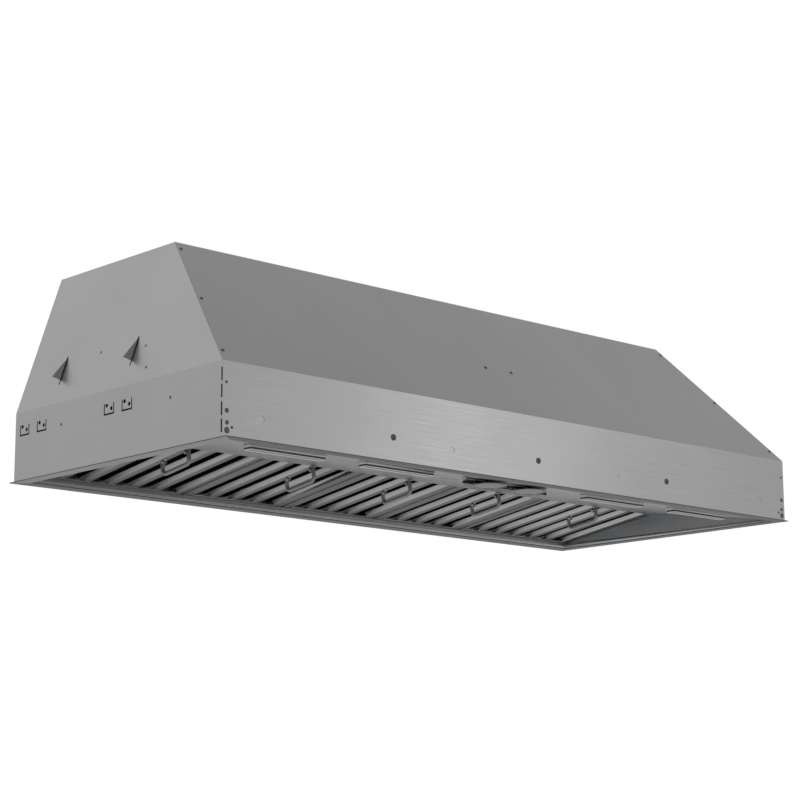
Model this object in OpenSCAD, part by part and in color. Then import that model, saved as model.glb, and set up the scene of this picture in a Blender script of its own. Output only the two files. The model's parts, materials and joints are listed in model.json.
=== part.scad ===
// Range hood insert: a sheet steel body with a sloping upper part, five baffle
// filters, four slim lamps, two dials, spring wings, a blower and a damper collar.
// Z is up, the front faces -Y, and the origin is below the middle of the rim.

/* [Body] */
// Width of the body
body_w = 1156; // [1080:1:1300]
// Depth of the body, front face to back face
body_d = 482.5; // [478:0.5:520]
// Height of the upright band at the bottom
band_h = 100; // [92:1:120]
// Height of the body
body_h = 311; // [305:1:360]
// How far each end of the top stands in from the side
side_setback = 70.6; // [50:0.1:90]
// Thickness of the sheet steel
sheet = 1.2; // [1:0.1:1.5]
// How far the rim stands out past the front face
front_lip = 7; // [4:0.5:12]
// How far the rim stands out past the back face
rear_flange = 12; // [6:0.5:25]
// Width of the rim at each side, out to in
rim_w = 20; // [19:0.5:22]
// Length of the slots along the front corners
corner_slot_len = 17.5; // [12:0.5:19]
// Width of the slots along the front corners
corner_slot_w = 2.8; // [2:0.1:4]

/* [Underside] */
// Distance from the front face to the lower edge of the lamp panel
lamp_panel_y = 10; // [8:0.5:14]
// Distance from the front face to the ridge of the underside
ridge_y = 267; // [262:0.5:272]
// Height of the filters' lower face at the ridge
ridge_z = 39.9; // [36:0.1:44]
// Distance from the back face to the rear wall of the opening
ledge_in = 12.5; // [10.5:0.5:14.5]
// Height of the ledge that carries the filters at the rear
ledge_z = 9.8; // [8:0.1:14]
// Width of the fold along the ridge that carries the filters
ledge_fold = 11; // [9:0.5:14]
// Height of the side walls inside the opening
liner_h = 62; // [56:1:70]
// Height of the folded hem along the side walls
hem_h = 4; // [3:0.5:8]
// Length of the slit in the lamp panel
slit_len = 34; // [20:1:50]
// Width of the slit in the lamp panel
slit_w = 3; // [2:0.5:5]

/* [Filters] */
// Width of each of the three inner filters
inner_filter_w = 187; // [183:0.5:190]
// Gap between the outer filters and the side walls
filter_side_gap = 5; // [2:0.5:8]
// Gap between two filters
filter_gap = 7.5; // [6:0.5:9]
// Thickness of a filter
filter_t = 14; // [12:0.5:18]
// Sheet thickness of the filters
filter_sheet = 0.8; // [0.6:0.1:1]
// Length of filter in front of the ridge
filter_front = 11; // [9:0.5:13]
// Distance from the back face to the filters' rear edge
filter_rear_gap = 7.5; // [6:0.5:9.5]
// Width of the front bar of a filter
front_bar = 10; // [8:0.5:11]
// Width of the rear bar of a filter
rear_bar = 12; // [9:0.5:16]
// Width of the open slots between the lower channels
slot_w = 27; // [25:0.5:29]
// Distance from one slot to the next
slot_pitch = 42; // [40:0.5:43]
// Least width of sheet beside the outermost slots
slot_side = 6; // [5:0.5:9]
// Height of the walls of the lower channels
channel_h = 7; // [5:0.5:8]
// How far the upper channels reach past the slot on each side
channel_lap = 3.5; // [3:0.5:5]
// Length of the legs of the upper channels
upper_leg = 6; // [4:0.5:7]
// Width of the rails between the filters
rail_w = 4; // [3:0.5:5]
// Height of the rails between the filters
rail_h = 16; // [14:0.5:20]
// How far the rails stand above the filters' lower face
rail_rise = 3; // [2:0.5:6]

/* [Handles] */
// Wire diameter of a handle
wire_d = 6; // [5:0.5:7]
// Distance between the legs of a handle
handle_span = 62; // [50:1:80]
// Depth of a handle below the filter face
handle_drop = 24.5; // [20:0.5:25]
// Distance from the ridge to the front leg of a handle
handle_front = 5; // [4.5:0.5:20]
// Bend radius of a handle, to the middle of the wire
handle_bend = 7; // [5:0.5:9]
// Diameter of the pivots at the handle ends
pivot_d = 4; // [3:0.5:4.5]
// Distance of the pivots below the channel floor
pivot_drop = 4.6; // [4.2:0.1:6]
// Width of a handle ear around its pivot
ear_d = 8; // [7:0.5:9]
// Thickness of a handle ear
ear_t = 2.4; // [1.5:0.1:3]
// Sideways offset of the handles from the middle of the filter
handle_offset = -3; // [-3.3:0.1:3.3]

/* [Lamps] */
// Length of a lamp
lamp_len = 133; // [100:1:150]
// Width of a lamp, front to back
lamp_w = 18; // [15:0.5:24]
// Distance from the front face to the front of the lamps
lamp_y = 50; // [40:1:60]
// Height of the lower face of the lamps
lamp_z = 2; // [1.5:0.1:4]
// Length of a lens
lens_len = 125; // [90:1:128]
// Width of a lens
lens_w = 9; // [6:0.5:10]
// Thickness of a lens
lens_t = 2; // [1.5:0.1:3]
// Height of the dark step along the front of a lamp
lamp_step = 2.8; // [1.5:0.1:3]
// Length of the lamp body above the panel
lamp_neck_len = 112; // [80:1:120]
// Width of the lamp body above the panel
lamp_neck_w = 10; // [6:0.5:12]
// Height of the top of the lamp body
lamp_top_z = 26; // [22:1:40]

/* [Controls] */
// Distance from the middle to each dial
dial_x = 41.5; // [36:0.5:52]
// Distance from the front face to the middle of the dials
dial_y = 60; // [52:0.5:66]
// Diameter of a dial
dial_d = 55; // [46:1:60]
// Thickness of a dial
dial_t = 3.6; // [2.5:0.1:4]
// Height of the lower face of a dial
dial_z = 0.8; // [0.6:0.1:1.2]
// Diameter of the spindle of a dial
spindle_d = 6; // [5:0.5:7]
// Width of the control bar
bar_w = 174; // [160:1:200]
// Depth of the control bar, front to back
bar_d = 20; // [14:1:26]
// Distance from the front face to the front of the control bar
bar_y = 65; // [60:0.5:72]
// Height of the dark window along the control bar
window_h = 4.2; // [3:0.1:4.5]
// Depth of the dark window, front to back
window_d = 4; // [3:0.5:5]
// Height of the carrier plate for the dial sensors
carrier_z = 16; // [15:0.5:20]

/* [Fasteners] */
// Head diameter of the screws on the front band
band_screw_d = 9; // [6:0.5:12]
// Distance between the screws on the front band
band_screw_pitch = 284.7; // [200:0.1:320]
// Height of the screws on the front band
band_screw_z = 35; // [28:0.5:42]
// Head height of the screws and rivets
head_h = 1.4; // [0.8:0.1:2]
// Head diameter of the small screws
small_screw_d = 5; // [3.5:0.5:6]
// Diameter of the dimples in the front band
dimple_d = 8; // [6:0.5:10]
// Hanging holes in the top panel, diameter
hang_hole_d = 8; // [6:0.5:10]
// Distance from the side edges of the top to the hanging holes
hang_in = 77.4; // [60:0.1:100]
// Distance between the hanging holes along the depth
hang_pitch_y = 200; // [180:5:220]
// Distance from the back face to the middle of the hanging holes
hang_back = 119.5; // [115:0.5:125]

/* [Side wings] */
// Distance from the front face to the front wings
wing_front_y = 218.5; // [210:0.5:225]
// Distance from the back face to the rear wings
wing_rear_gap = 93; // [82.5:0.5:112.5]
// How far a wing stands out of the side
wing_reach = 14.6; // [10:0.1:16]
// Thickness of a wing
wing_t = 1.8; // [1.5:0.1:2]
// Width of the slot that a wing moves in
wing_slot_w = 2.6; // [2.4:0.1:3.2]
// Distance of a wing's pivot up the slope from the crease
wing_pivot_s = 71; // [66:0.5:76]
// Depth of a wing's pivot below the outer face
wing_pivot_d = 5; // [4.5:0.1:6]
// Width of a cut tab
tab_w = 24; // [20:0.5:28]
// Height of a cut tab
tab_h = 16; // [14:0.5:18]
// Width of the cut around a tab
tab_cut = 2.2; // [1.5:0.1:2.5]
// Diameter of the screw holes in a tab
tab_hole_d = 5.5; // [4:0.5:6]

/* [Blower] */
// Diameter of the impeller
wheel_d = 150; // [140:1:152]
// Width of the impeller
wheel_w = 150; // [120:1:156]
// Number of blades
blade_count = 32; // [24:1:40]
// Width of the blower housing
scroll_w = 172; // [166:1:180]
// Distance from the middle of the duct collar forward to the impeller's axis
wheel_fore = 73; // [70:1:80]
// Least radius of the scroll
scroll_r_min = 82; // [80:0.5:84]
// Greatest radius of the scroll
scroll_r_max = 112; // [108:0.5:114]
// Diameter of the air inlets
inlet_d = 132; // [110:1:136]
// Diameter of the motor
motor_d = 92; // [80:1:100]
// Length of the motor
motor_len = 70; // [60:1:90]
// Distance from the housing to the motor
motor_gap = 28; // [22:1:35]
// Diameter of the motor shaft
shaft_d = 8; // [6:0.5:10]
// Side of the square outlet box
outlet_side = 206; // [204:1:212]
// Height of the outlet box's lower edge above the tongue of the scroll
outlet_rise = 8.4; // [6:0.2:10]

/* [Duct] */
// Outside diameter of the duct collar
collar_d = 203; // [150:1:204]
// Height of the duct collar above the top panel
collar_h = 19; // [17:1:20]
// Distance from the back face to the foot of the duct collar
collar_back_gap = 5; // [5:0.5:9]
// Distance from the front edge of the top to the foot of the duct collar
collar_front_gap = 51.5; // [44.5:0.5:104.5]
// Width of the foot ring of the duct collar
collar_foot = 10; // [6:0.5:10]
// Height of the damper pin above the top panel
pin_rise = 6; // [5.5:0.5:7]
// Diameter of the damper pin
damper_pin_d = 4; // [3:0.5:5]
// Thickness of a damper flap
flap_t = 0.8; // [0.6:0.1:1]

/* [Electrical] */
// Width of the junction box
junction_w = 110; // [90:1:120]
// Depth of the junction box
junction_d = 62; // [50:1:66]
// Height of the junction box
junction_h = 46; // [40:1:60]
// Diameter of the wiring hole through the top panel
wiring_hole_d = 22.2; // [20:0.1:28]
// Width of the lamp driver
driver_w = 120; // [90:1:140]
// Depth of the lamp driver
driver_d = 48; // [40:1:60]
// Height of the lamp driver
driver_h = 28; // [20:1:40]

/* [Hidden] */
$fn = 48;

// One overrun for every cut, and the clearances
cut = 4;
seat_gap = 0.3;
pin_gap = 0.05;
slide_gap = 0.5;
rest_gap = 0.02;

// Box of the rim, which sets the origin
mid_y = (body_d + rear_flange - front_lip) / 2;
half_w = body_w / 2;
open_half_w = half_w - rim_w;

// Places that keep their distance from the back face
collar_y = body_d - collar_back_gap - collar_foot - collar_d / 2;
front_setback = collar_y - collar_d / 2 - collar_foot - collar_front_gap;
wheel_y = collar_y - wheel_fore;
ledge_y = body_d - ledge_in;
filter_rear_y = body_d - filter_rear_gap;
wing_rear_y = body_d - wing_rear_gap;
hang_y = body_d - hang_back;

// Slopes of the body
front_rise = body_h - band_h;
front_slope_len = norm([front_setback, front_rise]);
side_slope_len = norm([side_setback, front_rise]);
front_slope_angle = atan2(front_rise, front_setback);
side_slope_angle = atan2(front_rise, side_setback);
front_crease_z = band_h - sheet * (front_slope_len - front_rise) / front_setback;
side_crease_z = band_h - sheet * (side_slope_len - front_rise) / side_setback;
top_z = body_h - sheet;
front_top_y = (sheet * front_slope_len + (top_z - band_h) * front_setback) / front_rise;
side_top_x = (sheet * side_slope_len + (top_z - band_h) * side_setback) / front_rise;
front_cut_y = (top_z - band_h) * front_setback / front_rise;
side_cut_x = (top_z - band_h) * side_setback / front_rise;

// Filter plane
filter_tilt = atan2(ridge_z - ledge_z, ledge_y - ridge_y);
filter_rear = (filter_rear_y - ridge_y) / cos(filter_tilt);
filter_len = filter_front + filter_rear;
outer_filter_w = open_half_w - filter_side_gap - 3 / 2 * inner_filter_w - 2 * filter_gap;
filter_pitch_a = inner_filter_w + filter_gap;
filter_pitch_b = inner_filter_w / 2 + inner_filter_w + 2 * filter_gap + outer_filter_w / 2;
filter_x = [-filter_pitch_b, -filter_pitch_a, 0, filter_pitch_a, filter_pitch_b];
filter_w = [outer_filter_w, inner_filter_w, inner_filter_w, inner_filter_w, outer_filter_w];
rail_x = [-filter_pitch_a - (inner_filter_w + filter_gap) / 2, -filter_pitch_a / 2,
          filter_pitch_a / 2, filter_pitch_a + (inner_filter_w + filter_gap) / 2];
channel_w = slot_pitch - slot_w;
filter_slots = [for (w = filter_w) 2 * floor((w - 2 * slot_side + channel_w) / slot_pitch / 2)];
upper_w = slot_w + 2 * channel_lap;

// Lamp panel
lamp_tilt = atan2(ridge_z - sheet - sheet, ridge_y - lamp_panel_y);
lamp_sheet_z = sheet / cos(lamp_tilt);
fold_join = sheet * (1 / cos(lamp_tilt) + 1 / cos(filter_tilt) - 1)
            / (tan(lamp_tilt) + tan(filter_tilt));
lamp_gap_shares = [0.3463, 0.3341];
lamp_spare = open_half_w - bar_w / 2 - 2 * lamp_len;
lamp_inner_x = (bar_w + lamp_len) / 2 + lamp_gap_shares[0] * lamp_spare;
lamp_outer_x = lamp_inner_x + lamp_len + lamp_gap_shares[1] * lamp_spare;
lamp_x = [-lamp_outer_x, -lamp_inner_x, lamp_inner_x, lamp_outer_x];
slit_x = -55;
slit_y = 128;
lamp_end_r = 4;
lamp_recess = 0.8;

// Heights of the lamp panel's two faces at a distance from the front face
function panel_under(y) = sheet + (y - lamp_panel_y) * tan(lamp_tilt);
function panel_over(y) = panel_under(y) + lamp_sheet_z;

// Controls
spindle_bush_d = 9;
hub_gap = 0.6;
hub_d = 8;
sensor_d = 22;
sensor_h = 10;
board_w = 150;
board_d = 38;
board_t = 1.6;
carrier_half_w = 92;
carrier_front = 38;
carrier_rear = 94;
bar_end_r = 4;
light_count = 5;
light_pitch = 5;
light_d = 1.6;

// Fasteners: places on the front band, from the side edge and up from the rim
edge_rivets = [[5.5, 72, 4], [6.5, 35, 6.5], [7, 19.5, 6], [7, 9.5, 8.5]];
edge_hole = [15, 14, 3.5];
corner_slot_z = [91, 69, 46, 24];
dimple_side = 64.5;
dimple_x = [172.5, half_w - dimple_side];
dimple_z = 30.5;
dimple_deep = 0.5;
slope_screw_x = 27;
slope_screw_share = 0.3886;
edge_screw_shares = [0.0806, 0.5071, 0.9431];
edge_screw_in = 6;
screw_len = 7;
screw_shank = 3;
shank_gap = 0.2;
rivet_h = 0.7;

// Side wings: outline in the plane of a wing, along the slope and out of the face
wing_tip_s = 37.5;
wing_slot_low = 31;
wing_slot_high = 76.5;
hook_s = 27.5;
hook_d = 4.5;
wing_tail_s = 60;
wing_tail_d = 13;
wing_round_d = 5;
wing_toe_s = 40;
wing_toe_d = 8;
bracket_gap = 0.4;
bracket_t = 1.5;
bracket_low = 64;
bracket_high = 79;
bracket_deep = 11;
wing_pin_d = 4;
wing_pin_out = 9;
coil_gap = 0.4;
coil_t = 1.4;
coil_len = 7;
side_dimples = [[304, 67], [194, 57], [177, 21]];
band_dimple_back = 116.5;
band_dimples = [[body_d - band_dimple_back, 68], [112, 68]];
side_dimple_d = 4.5;
tab_front = [209.5, 251];
tab_back = [67, 23.5];
tab_y = concat(tab_front, [for (t = tab_back) body_d - t]);
tab_z = 73;
tab_hole_at = [[-5.4, 0.3], [5.4, 5.3]];

// Blower
scroll_tongue = 65;
scroll_steps = 24;
scroll_low = scroll_r(270) + sheet;
scroll_high = scroll_r(90) + sheet;
blower_lift_share = 0.3638;
filter_top_z = ridge_z + filter_t;
wheel_z = filter_top_z + scroll_low
          + blower_lift_share * (top_z - filter_top_z - scroll_low - scroll_high);
outlet_z = wheel_z + (scroll_r_min + sheet) * sin(scroll_tongue) + outlet_rise;
blade_deep = 13;
blade_t = 1.2;
blade_turn = 28;
rim_t = 2;
disc_t = 3;
boss_d = 30;
boss_len = 26;
flange_w = 12;
arm_w = 14;
arm_t = 3;
arm_reach = 14;
shaft_in = 50;
bore_extra = 4;

// Duct
collar_in_r = collar_d / 2 - sheet;
stop_w = 5;
flap_gap = 1.5;
knuckle_wall = 1.6;
knuckle_count = 5;
knuckle_gap = 1;
flap_span_share = 0.9;

// Electrical
hang_x = half_w - side_setback - hang_in;
junction_in = 100;
junction_x = hang_x - junction_in;
junction_wall = 1.2;
driver_x = -junction_x;
driver_back = 72.5;
driver_y = body_d - driver_back;
cover_lap = 5;

// Places the object over the origin
module placed() {
    translate([0, -mid_y, 0])
        children();
}

// Turns an outline of distance back and height into a solid across the width
module across(width, x = 0) {
    translate([x - width / 2, 0, 0])
        rotate([90, 0, 90])
            linear_extrude(width)
                children();
}

// Turns an outline of sideways place and height into a solid along the depth
module along(y0, y1) {
    translate([0, y1, 0])
        rotate([90, 0, 0])
            linear_extrude(y1 - y0)
                children();
}

// Frame on the filters' lower face: origin at the ridge, Y back down the slope
module on_filters() {
    translate([0, ridge_y, ridge_z])
        rotate([-filter_tilt, 0, 0])
            children();
}

// Frame on the sloping front, a share of the way up: X across, Y up the slope, Z out
module on_front_slope(share) {
    translate([0, front_setback * share, band_h + front_rise * share])
        rotate([front_slope_angle, 0, 0])
            children();
}

// Frame on the left slope: X up the slope from the crease, Y back, Z out of the face
module on_left_slope(y) {
    translate([-half_w, y, band_h])
        rotate([0, -side_slope_angle, 0])
            children();
}

// Does the same on both sides
module both_sides() {
    children();
    mirror([1, 0, 0])
        children();
}

// A round bar that points to the front from the front face
module front_pin(x, z, d, out, inside) {
    translate([x, inside, z])
        rotate([90, 0, 0])
            cylinder(h = inside + out, d = d);
}

// Outlines of the body seen from the side and from the front
module outer_side_outline() {
    polygon([[0, sheet], [body_d, sheet], [body_d, body_h], [front_setback, body_h], [0, band_h]]);
}

module inner_side_outline() {
    polygon([[sheet, sheet], [body_d - sheet, sheet], [body_d - sheet, top_z],
             [front_top_y, top_z], [sheet, front_crease_z]]);
}

module outer_front_outline() {
    polygon([[-half_w, sheet], [half_w, sheet], [half_w, band_h], [half_w - side_setback, body_h],
             [side_setback - half_w, body_h], [-half_w, band_h]]);
}

// Holes through the front band
module front_holes() {
    for (x = [-band_screw_pitch, 0, band_screw_pitch])
        front_pin(x, band_screw_z, screw_shank + 2 * shank_gap, cut, sheet + cut);
    both_sides() {
        front_pin(-half_w + edge_hole[0], edge_hole[1], edge_hole[2], cut, sheet + cut);
        for (r = edge_rivets)
            front_pin(-half_w + r[0], r[1], screw_shank + 2 * shank_gap, cut, sheet + cut);
        for (x = dimple_x)
            translate([-x, -cut, dimple_z])
                rotate([-90, 0, 0])
                    cylinder(h = cut + dimple_deep, d = dimple_d);
    }
}

module front_panel() {
    color("#a4a4a4")
        placed()
            difference() {
                intersection() {
                    across(body_w)
                        polygon([[0, sheet], [sheet, sheet], [sheet, front_crease_z], [0, band_h]]);
                    along(-cut, body_d)
                        outer_front_outline();
                }
                front_holes();
            }
}

// Small screws along the two slanted edges and in the middle of the slope
module slope_screw_places() {
    on_front_slope(slope_screw_share)
        for (x = [-slope_screw_x, slope_screw_x])
            translate([x, 0, 0])
                children();
    both_sides()
        for (share = edge_screw_shares)
            on_front_slope(share)
                translate([edge_screw_in + side_setback * share - half_w, 0, 0])
                    children();
}

module upper_front_panel() {
    color("#848484")
        placed()
            difference() {
                intersection() {
                    across(body_w)
                        polygon([[0, band_h], [sheet, front_crease_z], [front_top_y, top_z],
                                 [front_cut_y, top_z]]);
                    along(-cut, body_d)
                        outer_front_outline();
                }
                slope_screw_places()
                    translate([0, 0, -sheet - cut])
                        cylinder(h = sheet + 2 * cut, d = screw_shank + 2 * shank_gap);
            }
}

// A cut tab, open at the top, with its two holes, as a solid to take away
module tab_cuts(y) {
    translate([-half_w - cut, y, tab_z]) {
        difference() {
            translate([0, -tab_w / 2, -tab_h / 2])
                cube([sheet + 2 * cut, tab_w, tab_h]);
            translate([-cut, tab_cut - tab_w / 2, tab_cut - tab_h / 2])
                cube([sheet + 4 * cut, tab_w - 2 * tab_cut, tab_h]);
        }
        for (p = tab_hole_at)
            translate([0, p[0], p[1]])
                rotate([0, 90, 0])
                    cylinder(h = sheet + 2 * cut, d = tab_hole_d);
    }
}

module side_panel() {
    difference() {
        intersection() {
            along(0, body_d)
                polygon([[-half_w, sheet], [-half_w, band_h], [side_cut_x - half_w, top_z],
                         [side_top_x - half_w, top_z], [sheet - half_w, side_crease_z],
                         [sheet - half_w, sheet]]);
            across(body_w + 2 * cut)
                inner_side_outline();
        }
        for (z = corner_slot_z)
            translate([-half_w - cut, sheet - cut, z - corner_slot_len])
                cube([sheet + 2 * cut, corner_slot_w + cut, corner_slot_len]);
        for (y = tab_y)
            tab_cuts(y);
        for (y = [wing_front_y, wing_rear_y])
            on_left_slope(y)
                translate([wing_slot_low, -wing_slot_w / 2, -sheet - cut])
                    cube([wing_slot_high - wing_slot_low, wing_slot_w, sheet + 2 * cut]);
        for (p = side_dimples)
            on_left_slope(p[0])
                translate([p[1], 0, -dimple_deep])
                    cylinder(h = dimple_deep + cut, d = side_dimple_d);
        for (p = band_dimples)
            translate([-half_w - cut, p[0], p[1]])
                rotate([0, 90, 0])
                    cylinder(h = cut + dimple_deep, d = side_dimple_d);
    }
}

module left_side_panel() {
    color("#989898")
        placed()
            side_panel();
}

module right_side_panel() {
    color("#989898")
        placed()
            mirror([1, 0, 0])
                side_panel();
}

module back_panel() {
    color("#8c8c8c")
        placed()
            intersection() {
                translate([-half_w, body_d - sheet, sheet])
                    cube([body_w, sheet, top_z - sheet]);
                along(-cut, body_d + cut)
                    outer_front_outline();
            }
}

// Middles of the hanging holes
module hang_places() {
    for (x = [-hang_x, hang_x], y = [-hang_pitch_y / 2, hang_pitch_y / 2])
        translate([x, hang_y + y, top_z])
            children();
}

module top_panel() {
    color("#8c8c8c")
        placed()
            difference() {
                intersection() {
                    translate([-half_w, 0, top_z])
                        cube([body_w, body_d, sheet]);
                    across(body_w + 2 * cut)
                        outer_side_outline();
                    along(-cut, body_d + cut)
                        outer_front_outline();
                }
                translate([0, collar_y, top_z - cut])
                    cylinder(h = sheet + 2 * cut, r = collar_in_r - stop_w, $fn = 96);
                hang_places()
                    translate([0, 0, -cut])
                        cylinder(h = sheet + 2 * cut, d = hang_hole_d);
                translate([junction_x, body_d - sheet - junction_d / 2, top_z - cut])
                    cylinder(h = sheet + 2 * cut, d = wiring_hole_d);
            }
}

module bottom_rim() {
    color("#7c7c7c")
        placed()
            difference() {
                translate([-half_w, -front_lip, 0])
                    cube([body_w, front_lip + body_d + rear_flange, sheet]);
                translate([-open_half_w, lamp_panel_y, -cut])
                    cube([2 * open_half_w, ledge_y - lamp_panel_y, sheet + 2 * cut]);
            }
}

// Side walls with a hem, and the rear wall with the sloping filter ledge
module inner_liner() {
    ledge_back = body_d - sheet;
    rest_z = ledge_z - rest_gap;
    ledge_fall = (ledge_back - ledge_y) * tan(filter_tilt);
    ledge_thick = sheet / cos(filter_tilt);
    color("#6c7072")
        placed() {
            both_sides()
                translate([-open_half_w - sheet, sheet, sheet]) {
                    cube([sheet, ledge_y, liner_h - sheet]);
                    translate([sheet, lamp_panel_y, 0])
                        cube([sheet, ledge_y - lamp_panel_y - sheet, hem_h]);
                }
            across(2 * (open_half_w + sheet))
                polygon([[ledge_y, sheet], [ledge_y + sheet, sheet],
                         [ledge_y + sheet, rest_z - sheet * tan(filter_tilt) - ledge_thick],
                         [ledge_back, rest_z - ledge_fall - ledge_thick],
                         [ledge_back, rest_z - ledge_fall], [ledge_y, rest_z]]);
        }
}

// Outline of the lamp panel: a foot on the rim, the slope and the fold at the ridge
module lamp_panel_outline() {
    fold_y = ridge_y - ledge_fold * cos(filter_tilt);
    rest_z = ridge_z - rest_gap;
    fold_z = rest_z + ledge_fold * sin(filter_tilt);
    polygon([[sheet, sheet], [lamp_panel_y, sheet], [ridge_y, ridge_z - sheet],
             [ridge_y, rest_z], [fold_y, fold_z],
             [fold_y - sheet * sin(filter_tilt), fold_z - sheet * cos(filter_tilt)],
             [ridge_y - fold_join, panel_over(ridge_y - fold_join)],
             [lamp_panel_y, sheet + lamp_sheet_z], [sheet, sheet + lamp_sheet_z]]);
}

module lamp_panel() {
    color("#8a8a8a")
        placed()
            difference() {
                across(2 * open_half_w)
                    lamp_panel_outline();
                translate([-open_half_w - cut, lamp_panel_y, -cut])
                    cube([cut + sheet + seat_gap, ledge_y - lamp_panel_y, cut + sheet + hem_h + seat_gap]);
                translate([open_half_w - sheet - seat_gap, lamp_panel_y, -cut])
                    cube([cut + sheet + seat_gap, ledge_y - lamp_panel_y, cut + sheet + hem_h + seat_gap]);
                for (x = lamp_x)
                    translate([x - lamp_neck_len / 2 - slide_gap,
                               lamp_y + (lamp_w - lamp_neck_w) / 2 - slide_gap, 0])
                        cube([lamp_neck_len + 2 * slide_gap, lamp_neck_w + 2 * slide_gap, lamp_top_z]);
                for (x = [-dial_x, dial_x])
                    translate([x, dial_y, 0])
                        cylinder(h = carrier_z, d = spindle_bush_d);
                translate([slit_x - slit_len / 2, slit_y - slit_w / 2, 0])
                    cube([slit_len, slit_w, ridge_z]);
            }
}

// Rails between the filters: feet on the ridge fold and on the rear ledge
module filter_rails() {
    foot_front = ledge_fold - seat_gap;
    foot_rear = filter_rear - (ledge_y - ridge_y) / cos(filter_tilt);
    color("#5c5e60")
        placed()
            on_filters()
                for (x = rail_x)
                    across(rail_w, x)
                        polygon([[-foot_front, 0], [0, 0], [0, rail_rise],
                                 [filter_rear - foot_rear, rail_rise], [filter_rear - foot_rear, 0],
                                 [filter_rear, 0], [filter_rear, rail_h], [-foot_front, rail_h]]);
}

// Everything under the lamp panel, as a solid that trims what hangs from it
module under_panel(width) {
    across(width)
        polygon([[lamp_panel_y, -cut], [ridge_y, -cut], [ridge_y, panel_under(ridge_y)],
                 [lamp_panel_y, panel_under(lamp_panel_y)]]);
}

// A block with rounded upright edges, centred across, its front at Y zero
module rounded_block(w, d, h, r) {
    translate([r - w / 2, 0, 0])
        cube([w - 2 * r, d, h]);
    translate([-w / 2, r, 0])
        cube([w, d - 2 * r, h]);
    for (x = [r - w / 2, w / 2 - r], y = [r, d - r])
        translate([x, y, 0])
            cylinder(h = h, r = r);
}

module lamp_housing(i) {
    neck_y = lamp_y + (lamp_w - lamp_neck_w) / 2;
    color("#8e8e8e")
        placed()
            difference() {
                union() {
                    intersection() {
                        union() {
                            translate([lamp_x[i], lamp_y, lamp_z + lamp_step])
                                rounded_block(lamp_len, lamp_w, ridge_z, lamp_end_r);
                            translate([lamp_x[i], lamp_y + lamp_recess, lamp_z])
                                rounded_block(lamp_len - 2 * lamp_recess, lamp_w - 2 * lamp_recess,
                                              2 * lamp_step, lamp_end_r - lamp_recess);
                        }
                        under_panel(body_w);
                    }
                    translate([lamp_x[i] - lamp_neck_len / 2, neck_y, lamp_z + lens_t])
                        cube([lamp_neck_len, lamp_neck_w, lamp_top_z - lamp_z - lens_t]);
                }
                translate([lamp_x[i] - lens_len / 2 - seat_gap,
                           lamp_y + (lamp_w - lens_w) / 2 - seat_gap, lamp_z - cut])
                    cube([lens_len + 2 * seat_gap, lens_w + 2 * seat_gap, cut + lens_t]);
            }
}

module lamp_lens(i) {
    color("#c8c8c4")
        placed()
            translate([lamp_x[i] - lens_len / 2, lamp_y + (lamp_w - lens_w) / 2, lamp_z])
                cube([lens_len, lens_w, lens_t]);
}

// Round cuts that keep the control bar clear of the dials
module dial_clear() {
    for (x = [-dial_x, dial_x])
        translate([x, dial_y, -cut])
            cylinder(h = cut + dial_z + dial_t + hub_gap, d = dial_d + 2 * hub_gap);
}

module control_bar() {
    color("#8a8a8a")
        placed()
            difference() {
                intersection() {
                    translate([0, bar_y, dial_z])
                        rounded_block(bar_w, bar_d, ridge_z, bar_end_r);
                    under_panel(body_w);
                }
                translate([-bar_w / 2 - cut, bar_y - cut, dial_z - cut])
                    cube([bar_w + 2 * cut, cut + window_d, cut + window_h]);
                dial_clear();
            }
}

module control_window() {
    color("#161616")
        placed()
            difference() {
                intersection() {
                    translate([0, bar_y, dial_z])
                        rounded_block(bar_w, bar_d, window_h, bar_end_r);
                    translate([-bar_w / 2, bar_y, 0])
                        cube([bar_w, window_d, ridge_z]);
                }
                dial_clear();
                for (i = [0:light_count - 1])
                    translate([(i - (light_count - 1) / 2) * light_pitch, bar_y + sheet,
                               dial_z + window_h / 2])
                        rotate([90, 0, 0])
                            cylinder(h = sheet + cut, d = light_d);
            }
}

// A dial: disc, hub, and a spindle that runs up into its sensor
module dial(x) {
    hub_top = panel_under(dial_y - hub_d / 2) - hub_gap;
    color("#9a9a9a")
        placed()
            translate([x, dial_y, 0]) {
                translate([0, 0, dial_z])
                    cylinder(h = dial_t, d = dial_d, $fn = 96);
                translate([0, 0, dial_z + dial_t])
                    cylinder(h = hub_top - dial_z - dial_t, d = hub_d);
                translate([0, 0, hub_top])
                    cylinder(h = carrier_z + sheet + sensor_h - bore_extra - hub_top, d = spindle_d);
            }
}

module fan_dial() {
    dial(-dial_x);
}

module light_dial() {
    dial(dial_x);
}

// Carrier plate with two end legs that stand on the lamp panel
module control_carrier() {
    color("#a8a8a8")
        placed()
            difference() {
                translate([-carrier_half_w, carrier_front, 0])
                    cube([2 * carrier_half_w, carrier_rear - carrier_front, carrier_z + sheet]);
                translate([sheet - carrier_half_w, carrier_front - cut, -cut])
                    cube([2 * (carrier_half_w - sheet), carrier_rear - carrier_front + 2 * cut,
                          cut + carrier_z]);
                translate([0, 0, lamp_sheet_z])
                    under_panel(body_w);
                for (x = [-dial_x, dial_x])
                    translate([x, dial_y, 0])
                        cylinder(h = carrier_z + sheet + cut, d = spindle_d + 2 * pin_gap);
            }
}

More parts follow.
